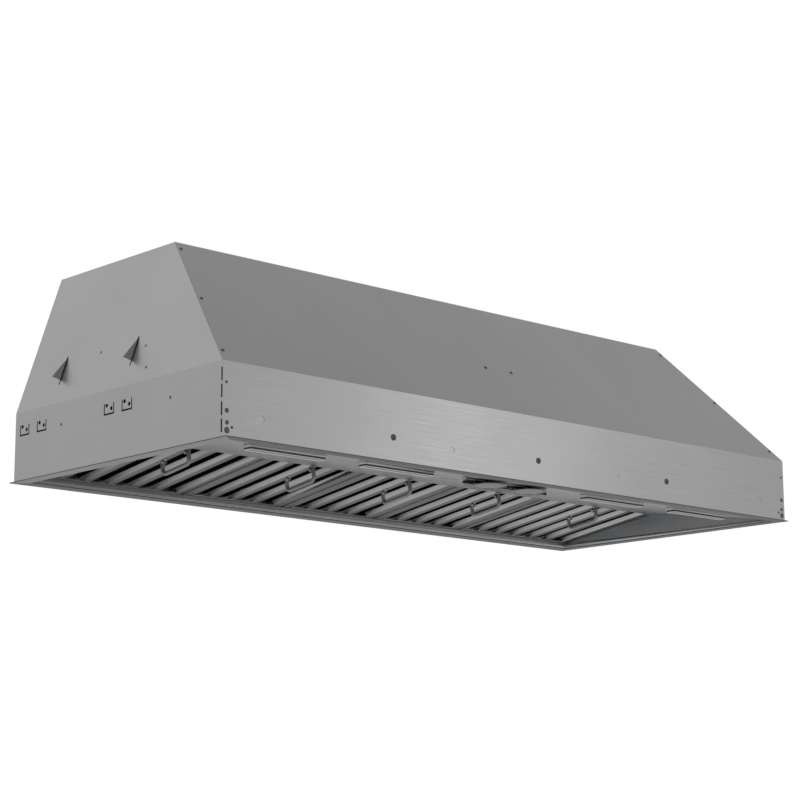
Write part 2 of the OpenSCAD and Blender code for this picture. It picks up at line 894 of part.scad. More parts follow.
// Circuit board with the two dial sensors that stand on the carrier
module control_board() {
    sensor_z = carrier_z + sheet;
    color("#2e5a3a")
        placed()
            difference() {
                union() {
                    for (x = [-dial_x, dial_x])
                        translate([x, dial_y, sensor_z])
                            cylinder(h = sensor_h, d = sensor_d);
                    translate([-board_w / 2, dial_y - board_d / 2, sensor_z + sensor_h])
                        cube([board_w, board_d, board_t]);
                }
                for (x = [-dial_x, dial_x])
                    translate([x, dial_y, sensor_z - cut])
                        cylinder(h = cut + sensor_h - bore_extra / 2, d = spindle_d + 2 * pin_gap);
            }
}

// Filter frame: a ring of channel that opens to the inside, with lips beside the slots
module filter_frame(i) {
    w = filter_w[i];
    side = (w - filter_slots[i] * slot_w - (filter_slots[i] - 1) * channel_w) / 2;
    inner_len = filter_len - front_bar - rear_bar;
    color("#9c9c9c")
        placed()
            on_filters()
                translate([filter_x[i] - w / 2, -filter_front, 0]) {
                    difference() {
                        cube([w, filter_len, filter_t]);
                        translate([side, front_bar, -cut])
                            cube([w - 2 * side, inner_len, filter_t + 2 * cut]);
                        translate([filter_sheet, filter_sheet, filter_sheet])
                            cube([w - 2 * filter_sheet, filter_len - 2 * filter_sheet,
                                  filter_t - 2 * filter_sheet]);
                    }
                    for (x = [side - filter_sheet, w - side])
                        translate([x, front_bar, 0])
                            cube([filter_sheet, inner_len, channel_h]);
                }
}

// A channel of bent sheet, its floor down
module channel(w, len, h) {
    difference() {
        translate([-w / 2, 0, 0])
            cube([w, len, h]);
        translate([filter_sheet - w / 2, -cut, filter_sheet])
            cube([w - 2 * filter_sheet, len + 2 * cut, h]);
    }
}

// The two ears under the middle channel that carry the handle
module handle_ears() {
    for (y = [handle_front + wire_d / 2 + seat_gap,
              handle_front + handle_span - wire_d / 2 - seat_gap - ear_t])
        translate([handle_offset, y, 0])
            difference() {
                union() {
                    translate([0, 0, -pivot_drop])
                        rotate([-90, 0, 0])
                            cylinder(h = ear_t, d = ear_d);
                    translate([-ear_d / 2, 0, -pivot_drop])
                        cube([ear_d, ear_t, pivot_drop + filter_sheet]);
                }
                translate([0, -cut, -pivot_drop])
                    rotate([-90, 0, 0])
                        cylinder(h = ear_t + 2 * cut, d = pivot_d + 2 * pin_gap);
            }
}

module filter_baffles(i) {
    n = filter_slots[i];
    len = filter_len - 2 * filter_sheet - 2 * seat_gap;
    y0 = filter_sheet + seat_gap - filter_front;
    color("#a8a8a8")
        placed()
            on_filters()
                translate([filter_x[i], 0, filter_sheet]) {
                    for (k = [1:n - 1])
                        translate([(k - n / 2) * slot_pitch, 0, 0])
                            translate([0, y0, 0])
                                channel(channel_w, len, channel_h);
                    handle_ears();
                    for (k = [0:n - 1])
                        translate([(k - (n - 1) / 2) * slot_pitch, y0,
                                   filter_t - 2 * filter_sheet])
                            mirror([0, 0, 1])
                                channel(upper_w, len, upper_leg);
                }
}

// A bail of wire, hung on pivots that turn inwards through the ears
module filter_handle(i) {
    leg_len = handle_drop + filter_sheet - pivot_drop - wire_d / 2 - handle_bend;
    pivot_len = wire_d / 2 + seat_gap + ear_t + seat_gap;
    color("#8f8f8f")
        placed()
            on_filters()
                translate([filter_x[i] + handle_offset, handle_front, filter_sheet - pivot_drop]) {
                    for (side = [0, 1])
                        translate([0, side * handle_span, 0])
                            mirror([0, side, 0]) {
                                sphere(d = wire_d);
                                translate([0, 0, -leg_len])
                                    cylinder(h = leg_len, d = wire_d);
                                rotate([-90, 0, 0])
                                    cylinder(h = pivot_len, d = pivot_d);
                                translate([0, handle_bend, -leg_len])
                                    rotate([0, 90, 0])
                                        rotate_extrude(angle = 90, start = 270)
                                            translate([handle_bend, 0, 0])
                                                circle(d = wire_d);
                            }
                    translate([0, handle_bend, -leg_len - handle_bend])
                        rotate([-90, 0, 0])
                            cylinder(h = handle_span - 2 * handle_bend, d = wire_d);
                }
}

// Outline of a wing in its plane: up the slope and out of the face
module wing_outline() {
    polygon([[wing_slot_high - sheet, 0], [wing_tip_s, wing_reach],
             [wing_tip_s + sheet, -sheet - bracket_gap],
             [hook_s, -sheet - bracket_gap], [hook_s, -sheet - hook_d], [wing_toe_s, -wing_toe_d],
             [wing_tail_s, -wing_tail_d], [wing_pivot_s + wing_round_d, -wing_tail_d + bracket_t],
             [wing_pivot_s + wing_round_d, -sheet - bracket_gap]]);
}

module wing(y) {
    placed()
        on_left_slope(y)
            translate([0, wing_t / 2, 0])
                rotate([90, 0, 0])
                    linear_extrude(wing_t)
                        difference() {
                            wing_outline();
                            translate([wing_pivot_s, -wing_pivot_d])
                                circle(d = wing_pin_d + 2 * pin_gap);
                        }
}

module wing_left_front() {
    color("#5a5c5c")
        wing(wing_front_y);
}

module wing_left_rear() {
    color("#5a5c5c")
        wing(wing_rear_y);
}

module wing_right_front() {
    color("#5a5c5c")
        mirror([1, 0, 0])
            wing(wing_front_y);
}

module wing_right_rear() {
    color("#5a5c5c")
        mirror([1, 0, 0])
            wing(wing_rear_y);
}

// Two ears on the inner face of the slope, joined by the wing's pin
module wing_bracket() {
    ear_in = wing_t / 2 + bracket_gap;
    for (side = [0, 1])
        mirror([0, side, 0])
            translate([bracket_low, ear_in, -sheet - bracket_deep])
                cube([bracket_high - bracket_low, bracket_t, bracket_deep]);
    translate([wing_pivot_s, -ear_in - bracket_t, -wing_pivot_d])
        rotate([-90, 0, 0])
            cylinder(h = 2 * (ear_in + bracket_t) + wing_pin_out, d = wing_pin_d);
}

// A coil round the free end of the pin, with a leg that lies on the sheet
module wing_spring() {
    coil_d = wing_pin_d + 2 * coil_gap;
    y0 = wing_t / 2 + bracket_gap + bracket_t;
    translate([wing_pivot_s, y0, -wing_pivot_d])
        rotate([-90, 0, 0])
            difference() {
                cylinder(h = coil_len, d = coil_d + 2 * coil_t);
                translate([0, 0, -cut])
                    cylinder(h = coil_len + 2 * cut, d = coil_d);
            }
}

module wing_places() {
    placed()
        both_sides()
            for (y = [wing_front_y, wing_rear_y])
                on_left_slope(y)
                    children();
}

module wing_brackets() {
    color("#8a8a8a")
        wing_places()
            wing_bracket();
}

module wing_springs() {
    color("#6a6a6a")
        wing_places()
            wing_spring();
}

// Spiral of the scroll, from the tongue round to the rear, and up to the outlet box
function scroll_r(a) = scroll_r_min + (scroll_r_max - scroll_r_min) * (a - scroll_tongue)
                       / (360 - scroll_tongue);

function scroll_points(extra, top) = concat(
    [[wheel_y + scroll_r_min * cos(scroll_tongue) - extra,
      wheel_z + (scroll_r_min + extra) * sin(scroll_tongue)]],
    [for (k = [1:scroll_steps])
        let (a = scroll_tongue + (360 - scroll_tongue) * k / scroll_steps)
        [wheel_y + (scroll_r(a) + extra) * cos(a), wheel_z + (scroll_r(a) + extra) * sin(a)]],
    [[wheel_y + scroll_r_max + extra, top],
     [wheel_y + scroll_r_min * cos(scroll_tongue) - extra, top]]);

// Housing: scroll with two inlets, open at the top into the square outlet box
module blower_housing() {
    color("#b4b6b8")
        placed()
            difference() {
                union() {
                    across(scroll_w)
                        polygon(scroll_points(sheet, outlet_z + sheet));
                    translate([-outlet_side / 2, collar_y - outlet_side / 2, outlet_z])
                        cube([outlet_side, outlet_side, top_z - outlet_z]);
                    translate([-outlet_side / 2 - flange_w, collar_y - outlet_side / 2, top_z - sheet])
                        cube([outlet_side + 2 * flange_w, outlet_side, sheet]);
                }
                across(scroll_w - 2 * sheet)
                    polygon(scroll_points(0, top_z - sheet));
                translate([sheet - outlet_side / 2, collar_y - outlet_side / 2 + sheet,
                           outlet_z + sheet])
                    cube([outlet_side - 2 * sheet, outlet_side - 2 * sheet, top_z - outlet_z]);
                translate([-scroll_w, wheel_y, wheel_z])
                    rotate([0, 90, 0])
                        cylinder(h = 2 * scroll_w, d = inlet_d, $fn = 96);
            }
}

// Impeller: blades between a middle disc and two end rings
module impeller() {
    ring_in = wheel_d / 2 - blade_deep;
    color("#9aa0a4")
        placed()
            translate([-wheel_w / 2, wheel_y, wheel_z])
                rotate([90, 0, 90]) {
                    for (k = [0:blade_count - 1])
                        rotate(k * 360 / blade_count)
                            translate([ring_in + blade_t, 0, 0])
                                rotate(blade_turn)
                                    translate([0, -blade_t / 2, rim_t / 2])
                                        cube([blade_deep - 2 * blade_t, blade_t, wheel_w - rim_t]);
                    for (z = [0, wheel_w - rim_t])
                        translate([0, 0, z])
                            difference() {
                                cylinder(h = rim_t, d = wheel_d, $fn = 96);
                                translate([0, 0, -cut])
                                    cylinder(h = rim_t + 2 * cut, r = ring_in, $fn = 96);
                            }
                    difference() {
                        union() {
                            translate([0, 0, (wheel_w - disc_t) / 2])
                                cylinder(h = disc_t, d = wheel_d, $fn = 96);
                            translate([0, 0, (wheel_w - boss_len) / 2])
                                cylinder(h = boss_len, d = boss_d);
                        }
                        translate([0, 0, -cut])
                            cylinder(h = wheel_w + 2 * cut, d = shaft_d + 2 * pin_gap);
                    }
                }
}

motor_face_x = -scroll_w / 2 - motor_gap;

module motor_shaft() {
    color("#b0b0b0")
        placed()
            translate([motor_face_x - shaft_in, wheel_y, wheel_z])
                rotate([0, 90, 0])
                    cylinder(h = shaft_in - motor_face_x + boss_len / 2, d = shaft_d);
}

module motor() {
    color("#3c3e40")
        placed()
            translate([motor_face_x - motor_len, wheel_y, wheel_z])
                rotate([0, 90, 0])
                    difference() {
                        cylinder(h = motor_len, d = motor_d, $fn = 96);
                        translate([0, 0, motor_len - shaft_in - bore_extra])
                            cylinder(h = shaft_in + bore_extra + cut, d = shaft_d + 2 * pin_gap);
                    }
}

// Ring on the motor's face with three arms that stand on the housing beside the inlet
module motor_bracket() {
    foot_r = inlet_d / 2 + arm_reach;
    color("#7a7c7e")
        placed()
            translate([motor_face_x, wheel_y, wheel_z])
                rotate([0, 90, 0]) {
                    difference() {
                        union() {
                            cylinder(h = arm_t, d = motor_d);
                            for (a = [60, 180, 300])
                                rotate(a)
                                    translate([0, -arm_w / 2, 0])
                                        cube([foot_r, arm_w, arm_t]);
                        }
                        translate([0, 0, -cut])
                            cylinder(h = arm_t + 2 * cut, d = boss_d);
                    }
                    for (a = [60, 180, 300])
                        rotate(a)
                            translate([foot_r - arm_t, -arm_w / 2, 0])
                                cube([arm_t, arm_w, motor_gap]);
                }
}

// Collar with a foot ring on the top panel, an inner stop ring and bores for the pin
module duct_collar() {
    pin_z = sheet + pin_rise;
    stop_z = pin_z - flap_t / 2 - seat_gap;
    color("#a0a2a4")
        placed()
            translate([0, collar_y, body_h])
                difference() {
                    union() {
                        cylinder(h = sheet, r = collar_d / 2 + collar_foot, $fn = 96);
                        cylinder(h = collar_h, d = collar_d, $fn = 96);
                    }
                    translate([0, 0, stop_z])
                        cylinder(h = collar_h, r = collar_in_r, $fn = 96);
                    translate([0, 0, sheet])
                        cylinder(h = stop_z - 2 * sheet, r = collar_in_r, $fn = 96);
                    translate([0, 0, -cut])
                        cylinder(h = cut + collar_h, r = collar_in_r - stop_w, $fn = 96);
                    translate([-collar_d, 0, pin_z])
                        rotate([0, 90, 0])
                            cylinder(h = 2 * collar_d, d = damper_pin_d + 2 * pin_gap);
                }
}

// Half-round flap with knuckles round the pin, every second knuckle on each flap
module damper_flap(side) {
    pin_z = sheet + pin_rise;
    knuckle_d = damper_pin_d + 2 * pin_gap + 2 * knuckle_wall;
    flap_r = collar_in_r - flap_gap;
    span = 2 * flap_r * flap_span_share;
    pitch = span / knuckle_count;
    color("#b6b8ba")
        placed()
            translate([0, collar_y, body_h + pin_z])
                difference() {
                    union() {
                        intersection() {
                            translate([0, 0, -flap_t / 2])
                                cylinder(h = flap_t, r = flap_r, $fn = 96);
                            translate([-flap_r, side > 0 ? knuckle_d / 2 + seat_gap
                                                         : -flap_r - knuckle_d / 2 - seat_gap, -flap_t])
                                cube([2 * flap_r, flap_r, 2 * flap_t]);
                        }
                        for (k = [0:knuckle_count - 1])
                            if ((k % 2 == 0) == (side > 0))
                                translate([(k - knuckle_count / 2) * pitch + knuckle_gap / 2, 0, 0]) {
                                    rotate([0, 90, 0])
                                        cylinder(h = pitch - knuckle_gap, d = knuckle_d);
                                    translate([0, side > 0 ? 0 : -knuckle_d / 2 - 2 * seat_gap, -flap_t / 2])
                                        cube([pitch - knuckle_gap, knuckle_d / 2 + 2 * seat_gap, flap_t]);
                                }
                    }
                    translate([-collar_d, 0, 0])
                        rotate([0, 90, 0])
                            cylinder(h = 2 * collar_d, d = damper_pin_d + 2 * pin_gap);
                }
}

module damper_flap_front() {
    damper_flap(-1);
}

module damper_flap_rear() {
    damper_flap(1);
}

module damper_pin() {
    color("#8a8a8a")
        placed()
            translate([-collar_d / 2, collar_y, body_h + sheet + pin_rise])
                rotate([0, 90, 0])
                    cylinder(h = collar_d, d = damper_pin_d);
}

// Box under the top panel at the back, open to the front
module junction_box() {
    color("#b0b2b4")
        placed()
            difference() {
                translate([junction_x - junction_w / 2, body_d - sheet - junction_d,
                           top_z - junction_h])
                    cube([junction_w, junction_d, junction_h]);
                translate([junction_x - junction_w / 2 + junction_wall,
                           body_d - sheet - junction_d - cut, top_z - junction_h + junction_wall])
                    cube([junction_w - 2 * junction_wall, cut + junction_d - junction_wall,
                          junction_h - 2 * junction_wall]);
                translate([junction_x, body_d - sheet - junction_d / 2, top_z - junction_wall - cut])
                    cylinder(h = junction_wall + 2 * cut, d = wiring_hole_d);
            }
}

module junction_cover() {
    color("#a4a6a8")
        placed()
            translate([junction_x - junction_w / 2, body_d - sheet - junction_d - sheet,
                       top_z - junction_h])
                cube([junction_w, sheet, junction_h - cover_lap]);
}

module lamp_driver() {
    color("#d8d8d4")
        placed()
            translate([driver_x - driver_w / 2, driver_y - driver_d / 2, top_z - driver_h])
                cube([driver_w, driver_d, driver_h]);
}

module panel_screws() {
    color("#6e6e6e")
        placed() {
            for (x = [-band_screw_pitch, 0, band_screw_pitch]) {
                front_pin(x, band_screw_z, band_screw_d, head_h, 0);
                front_pin(x, band_screw_z, screw_shank, 0, screw_len);
            }
            slope_screw_places() {
                cylinder(h = head_h, d = small_screw_d);
                translate([0, 0, -screw_len])
                    cylinder(h = screw_len, d = screw_shank);
            }
        }
}

module panel_rivets() {
    color("#747474")
        placed()
            both_sides()
                for (r = edge_rivets) {
                    front_pin(-half_w + r[0], r[1], r[2], rivet_h, 0);
                    front_pin(-half_w + r[0], r[1], screw_shank, 0, sheet + rivet_h);
                }
}

front_panel();
upper_front_panel();
left_side_panel();
right_side_panel();
back_panel();
top_panel();
bottom_rim();
inner_liner();
lamp_panel();
filter_rails();
for (i = [0:3]) {
    lamp_housing(i);
    lamp_lens(i);
}
control_bar();
control_window();
fan_dial();
light_dial();
control_carrier();
control_board();
for (i = [0:4]) {
    filter_frame(i);
    filter_baffles(i);
    filter_handle(i);
}
wing_left_front();
wing_left_rear();
wing_right_front();
wing_right_rear();
wing_brackets();
wing_springs();
blower_housing();
impeller();
motor_shaft();
motor();
motor_bracket();
duct_collar();
damper_flap_front();
damper_flap_rear();
damper_pin();
junction_box();
junction_cover();
lamp_driver();
panel_screws();
panel_rivets();
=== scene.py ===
import json
import math

import bmesh
import bpy
from mathutils import Matrix, Vector


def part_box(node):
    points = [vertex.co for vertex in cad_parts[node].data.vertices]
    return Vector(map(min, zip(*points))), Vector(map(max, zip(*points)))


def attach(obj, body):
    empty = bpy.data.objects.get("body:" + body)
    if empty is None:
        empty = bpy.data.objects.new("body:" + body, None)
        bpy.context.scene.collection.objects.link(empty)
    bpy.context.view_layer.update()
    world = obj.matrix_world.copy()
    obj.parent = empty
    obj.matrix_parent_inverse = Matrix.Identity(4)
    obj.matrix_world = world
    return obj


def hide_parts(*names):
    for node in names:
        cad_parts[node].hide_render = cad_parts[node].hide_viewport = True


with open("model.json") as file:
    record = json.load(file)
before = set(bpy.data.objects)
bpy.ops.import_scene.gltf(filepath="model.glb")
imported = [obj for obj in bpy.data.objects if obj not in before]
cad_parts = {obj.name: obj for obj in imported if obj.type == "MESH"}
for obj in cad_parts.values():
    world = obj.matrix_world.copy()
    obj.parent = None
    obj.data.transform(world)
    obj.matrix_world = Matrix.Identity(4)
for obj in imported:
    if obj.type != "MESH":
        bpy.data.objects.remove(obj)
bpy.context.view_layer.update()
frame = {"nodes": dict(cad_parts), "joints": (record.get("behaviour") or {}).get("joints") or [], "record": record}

MM = 0.001
NODES = frame["nodes"]
RECORD = frame["record"]
BODY_OF = {node: body for body, nodes in RECORD["behaviour"]["bodies"].items() for node in nodes}
JOINTS = {joint["name"]: joint for joint in frame["joints"]}
FILTER_COUNT = 5
LAMP_COUNT = 4
# Vertices closer than this are one, and faces that turn less than this are one flat face
MERGE = 0.002 * MM
FLAT_ANGLE = math.radians(0.4)
# A face whose normal is steeper than this share of upright counts as facing up or down
LEVEL = 0.5
# Edges that turn more than this, in degrees, stay sharp: on sheets, on grown pieces and on wire
SHARP, SHARP_GROWN, SHARP_WIRE = 30, 40, 50
# Edges that turn more than this get a bevel, on the pieces that have one
BROKEN_ANGLE = math.radians(32)

# The filters hang in one plane: the way up out of it, and how far up their lower faces lie
SLOPE = Vector(JOINTS["handle_1_swing"]["axis"])
FILTER_UP = Vector((0, -SLOPE.z, SLOPE.y)) * math.copysign(1, SLOPE.y)
FILTER_LOW = min(v.co.dot(FILTER_UP) for v in NODES["filter_frame_1"].data.vertices)


# Node helper and colours

def add(tree, kind, links=None, **settings):
    """Adds a node with its settings; links gives each input a value or another node's output."""
    made = tree.nodes.new(kind)
    for key, value in settings.items():
        setattr(made, key, value)
    for key, value in (links or {}).items():
        if isinstance(value, bpy.types.NodeSocket):
            tree.links.new(value, made.inputs[key])
        else:
            made.inputs[key].default_value = value
    return made


def linear(code):
    """An sRGB hex colour as the linear colour that a shader takes."""
    parts = [int(code[i:i + 2], 16) / 255 for i in (1, 3, 5)]
    return (*(c / 12.92 if c <= 0.04045 else ((c + 0.055) / 1.055) ** 2.4 for c in parts), 1.0)


# Materials

# Height up to which the sheets are folded over at the opening and painted brighter as a painted highlight, and how
# softly that ends
HEM_TOP = 5.2 * MM
HEM_FADE = 0.3 * MM
# Depth and strength of the fine relief that the bump nodes draw
RELIEF = 0.2 * MM
BUMP = 0.2
# Radius that the light sees on the edges of a sheet
SOFT_EDGE = 0.4 * MM
# Length of a grain line and size of a cloud on brushed sheet, in mm
GRAIN_LEN = 90
CLOUD_SIZE = 260
# Nearly all values of the noise lie between these
NOISE_LOW, NOISE_HIGH = 0.3, 0.7
# How much smoother and rougher than its middle value a surface gets, brushed and moulded
WORN_LESS, WORN_MORE = 0.05, 0.07
SPECK_SPREAD = 0.06
# Colour of metal seen at a glancing angle, where it would otherwise turn white
GLANCE = linear("#bcbcbc")


def new_material(name, **fixed):
    """A material with one Principled shader, its fixed values set on the shader's own sockets."""
    material = bpy.data.materials.new(name)
    material.use_nodes = True
    tree = material.node_tree
    tree.nodes.clear()
    shader = add(tree, "ShaderNodeBsdfPrincipled",
                 {key.replace("_", " "): value for key, value in fixed.items()})
    add(tree, "ShaderNodeOutputMaterial", {"Surface": shader.outputs["BSDF"]})
    return material, tree, shader


def noise(tree, size, low, high, detail=3.0):
    """Noise with features size millimetres long on each axis, spread from low to high."""
    place = add(tree, "ShaderNodeTexCoord")
    mapped = add(tree, "ShaderNodeMapping", {"Vector": place.outputs["Object"],
                                             "Scale": tuple(1 / (s * MM) for s in size)})
    cloud = add(tree, "ShaderNodeTexNoise", {"Vector": mapped.outputs["Vector"], "Scale": 1.0,
                                             "Detail": detail, "Roughness": 0.6})
    return add(tree, "ShaderNodeMapRange", {"Value": cloud.outputs["Fac"], "From Min": NOISE_LOW,
                                            "From Max": NOISE_HIGH, "To Min": low, "To Max": high})


def brushed(name, code, along, rough, grain=1.4, shade=0.05, cloud=0.04, hem_light=1, **fixed):
    """Sheet metal with a grain along one axis. The grain lines are GRAIN_LEN long and grain mm
    apart, coarser than the real 0.2 mm so that they show, and broad clouds are the sheet's uneven
    shine. shade and cloud are the shares by which lines and clouds change the colour. The bevel
    node rounds the sheet's edges for the light only. hem_light is how many times brighter the
    sheet is painted where it is folded over, up to HEM_TOP: a painted highlight on the hem."""
    material, tree, shader = new_material(name, Metallic=1.0, **fixed)
    size = [grain] * 3
    size["xyz".index(along)] = GRAIN_LEN
    lines = noise(tree, size, 1 - shade, 1 + shade)
    broad = noise(tree, (CLOUD_SIZE,) * 3, 1 - cloud, 1 + cloud, detail=2.0)
    both = add(tree, "ShaderNodeMath", {0: lines.outputs["Result"], 1: broad.outputs["Result"]},
               operation="MULTIPLY")
    place = add(tree, "ShaderNodeTexCoord")
    height = add(tree, "ShaderNodeSeparateXYZ", {"Vector": place.outputs["Object"]})
    # Painted highlight: the sheet is brighter up to HEM_TOP, where it is folded over
    hem_highlight = add(tree, "ShaderNodeMapRange", {"Value": height.outputs["Z"], "From Min": HEM_TOP,
                                              "From Max": HEM_TOP + HEM_FADE, "To Min": hem_light,
                                              "To Max": 1.0})
    value = add(tree, "ShaderNodeMath", {0: both.outputs["Value"], 1: hem_highlight.outputs["Result"]},
                operation="MULTIPLY")
    tint = add(tree, "ShaderNodeHueSaturation", {"Value": value.outputs["Value"],
                                                 "Color": linear(code)})
    worn = noise(tree, size, rough - WORN_LESS, rough + WORN_MORE)
    edge = add(tree, "ShaderNodeBevel", {"Radius": SOFT_EDGE}, samples=4)
    relief = add(tree, "ShaderNodeBump", {"Height": lines.outputs["Result"], "Strength": BUMP,
                                          "Distance": RELIEF, "Normal": edge.outputs["Normal"]})
    tree.links.new(tint.outputs["Color"], shader.inputs["Base Color"])
    tree.links.new(worn.outputs["Result"], shader.inputs["Roughness"])
    tree.links.new(relief.outputs["Normal"], shader.inputs["Normal"])
    return material


def moulded(name, code, rough, grain=0.6, bump=BUMP, **fixed):
    """A moulded, plated or painted surface with a fine, even texture of grain mm."""
    material, tree, shader = new_material(name, Base_Color=linear(code), **fixed)
    speck = noise(tree, (grain,) * 3, rough - SPECK_SPREAD, rough + SPECK_SPREAD, detail=2.0)
    relief = add(tree, "ShaderNodeBump", {"Height": speck.outputs["Result"], "Strength": bump,
                                          "Distance": RELIEF})
    tree.links.new(speck.outputs["Result"], shader.inputs["Roughness"])
    tree.links.new(relief.outputs["Normal"], shader.inputs["Normal"])
    return material


# Brushed stainless sheet of the front band: even soft grey with thin level streaks
front_steel = brushed("brushed_stainless_front", "#929292", "x", 0.27)
# The same sheet on the slope, its grain running up the slope, painted a shade darker than the front band: painted
# shade
shaded_slope_steel = brushed("brushed_stainless_slope_painted_shade", "#767676", "y", 0.36)
# Side sheets, with the grain from front to back: an even, soft sheen
side_steel = brushed("brushed_stainless_side", "#979797", "y", 0.36)
# Rear and top sheets, mill finish: duller and cloudier than the front
rear_steel = brushed("mill_finish_sheet", "#949698", "x", 0.45, cloud=0.1)
# Rim, satin stainless: duller and darker than the front. Its left flange is a lit copy of the same metal, painted
# paler: painted light
rim_steel = brushed("satin_stainless_rim", "#8a8b8c", "x", 0.36, Specular_Tint=GLANCE)
lit_rim_side_steel = brushed("satin_stainless_rim_side_painted_light", "#bcbdbe", "y", 0.36, Specular_Tint=GLANCE)
# Lamp panel, satin stainless: a calm mid grey with faint level streaks
panel_steel = brushed("satin_stainless_lamp_panel", "#717171", "x", 0.34)
# Inner walls of the opening, dull stainless: pale and soft, with a painted highlight along the folded hem
liner_steel = brushed("dull_stainless_liner", "#acafb2", "y", 0.4, hem_light=1.4)
# Walls of the lower filter channels, satin stainless: a lit copy of the filters' metal, painted bright as painted
# light, with the grain along them
lit_filter_steel = brushed("satin_stainless_filter_painted_light", "#c4c4c4", "y", 0.34)
# Lower faces of the filters and underside of the control bar, the same metal painted mid grey:
# painted shade on faces turned down
shaded_face_steel = brushed("stainless_filter_painted_shade", "#8e8e8d", "y", 0.36, Specular_Tint=GLANCE)
# Upper filter channels and the wings' roots, the same metal painted near black and dull: painted deep shade
# between the lower channels and in the wings' slots
deep_shade_steel = brushed("stainless_filter_painted_deep_shade", "#2c2c2c", "y", 0.5)
# Nickel plated wire of the handles: an even satin grey without grain
wire_steel = moulded("satin_nickel_wire", "#8c8c8a", 0.42, Metallic=0.5)
# Satin lacquer with metal flake on the lamp and control bodies: pale, with a broad sheen
lamp_metal = moulded("silver_lacquer", "#d2d2d2", 0.36, bump=0.05, Metallic=0.25)
# Chromed and turned metal of the dials: bright, with very fine lines
dial_metal = brushed("turned_chrome", "#a6a6a2", "x", 0.2, grain=0.7, shade=0.03,
                     Specular_Tint=GLANCE)
# Sheared edges of the rim and floors of the dimples: bare steel, painted dark for the shade on the rim's upright
# faces and in the dimples
shade_edge_steel = moulded("sheared_steel_edge_painted_shade", "#4c4c4c", 0.5, grain=0.3, Metallic=1.0)
# Oiled spring steel of the side wings: darker than the sheet, faintly green
wing_steel = moulded("oiled_spring_steel", "#8e9290", 0.38, Metallic=0.8)
# Zinc coated sheet of the hidden parts: cloudy blue-grey
zinc_steel = brushed("zinc_coated_sheet", "#b0b4b8", "x", 0.4, grain=9, shade=0.08, cloud=0.12)
# Plain drawn wire of the wing springs: mid grey and shiny
spring_wire = brushed("spring_wire", "#707070", "x", 0.3, grain=0.5)
# Aluminium of the impeller, as rolled: pale and a little streaky
impeller_metal = brushed("rolled_aluminium", "#a8acb0", "x", 0.36, grain=2)
# Ground shaft steel: bright and smooth
shaft_steel = brushed("ground_steel", "#bcbcbc", "x", 0.18, grain=0.5)
# Plated screws and rivets: dark grey
fastener_steel = moulded("plated_fastener_steel", "#4c4c4c", 0.32, Metallic=1.0)
# Black moulded plastic of the control window and the dials' hubs: deep black with a slight gloss.
# The same black is painted shade round the window on the bar's front, on the strip along each
# lamp's foot, on the dials' necks and in their grooves, and in the lamp panel's slit
black_plastic_and_shade = moulded("black_plastic_and_painted_shade", "#121212", 0.3)
# Milky plastic of the indicator lights, unlit: off-white and soft
light_plastic = moulded("milky_indicator_plastic", "#e4e4e0", 0.35)
# Frosted lamp lens, unlit: pale and slightly warm
lens_plastic = moulded("frosted_lens_plastic", "#8a8a87", 0.5, bump=0.1, Specular_IOR_Level=0.15)
# Baked paint of the motor: near black, satin
motor_paint = moulded("black_motor_paint", "#26272a", 0.42)
# Circuit board under its solder mask: deep green, satin
board_green = moulded("solder_mask_board", "#2f5d3b", 0.4)
# White moulded ABS of the lamp driver's case: plain and slightly soft
driver_plastic = moulded("white_abs", "#d8d8d3", 0.45)


# Mesh helpers

# Steps in a full circle
ROUND_STEPS = 96


def solid_of(node, joined=True):
    """A node's mesh with its doubles merged and, where asked, its flat faces joined."""
    bm = bmesh.new()
    bm.from_mesh(NODES[node].data)
    bmesh.ops.remove_doubles(bm, verts=bm.verts, dist=MERGE)
    if joined:
        bmesh.ops.dissolve_limit(bm, angle_limit=FLAT_ANGLE, verts=bm.verts, edges=bm.edges)
    return bm


def cut_across(bm, point, normal):
    """Adds edges where a plane crosses the mesh, so that two finishes can meet there."""
    bmesh.ops.bisect_plane(bm, geom=bm.verts[:] + bm.edges[:] + bm.faces[:],
                           plane_co=point, plane_no=normal)


def separate(bm):
    """The vertices of each separate solid of a mesh."""
    bm.verts.index_update()
    seen = set()
    found = []
    for start in bm.verts:
        if start.index in seen:
            continue
        seen.add(start.index)
        group = [start]
        for vert in group:
            for edge in vert.link_edges:
                other = edge.other_vert(vert)
                if other.index not in seen:
                    seen.add(other.index)
                    group.append(other)
        found.append(group)
    return found


def piece_from(name, bm, sharp=SHARP):
    """Makes an object of a bmesh, smooth but for its sharp edges."""
    mesh = bpy.data.meshes.new(name)
    bm.to_mesh(mesh)
    bm.free()
    return piece_of_mesh(name, mesh, sharp)


def piece_of_mesh(name, mesh, sharp):
    """Puts a mesh in the scene as an object, smooth but for its sharp edges."""
    mesh.shade_smooth()
    mesh.set_sharp_from_angle(angle=math.radians(sharp))
    piece = bpy.data.objects.new(name, mesh)
    bpy.context.scene.collection.objects.link(piece)
    return piece


def mount(piece, node, replaces=()):
    """Puts a piece on the body of a node and hides what it stands for."""
    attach(piece, BODY_OF[node])
    if replaces:
        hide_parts(*replaces)


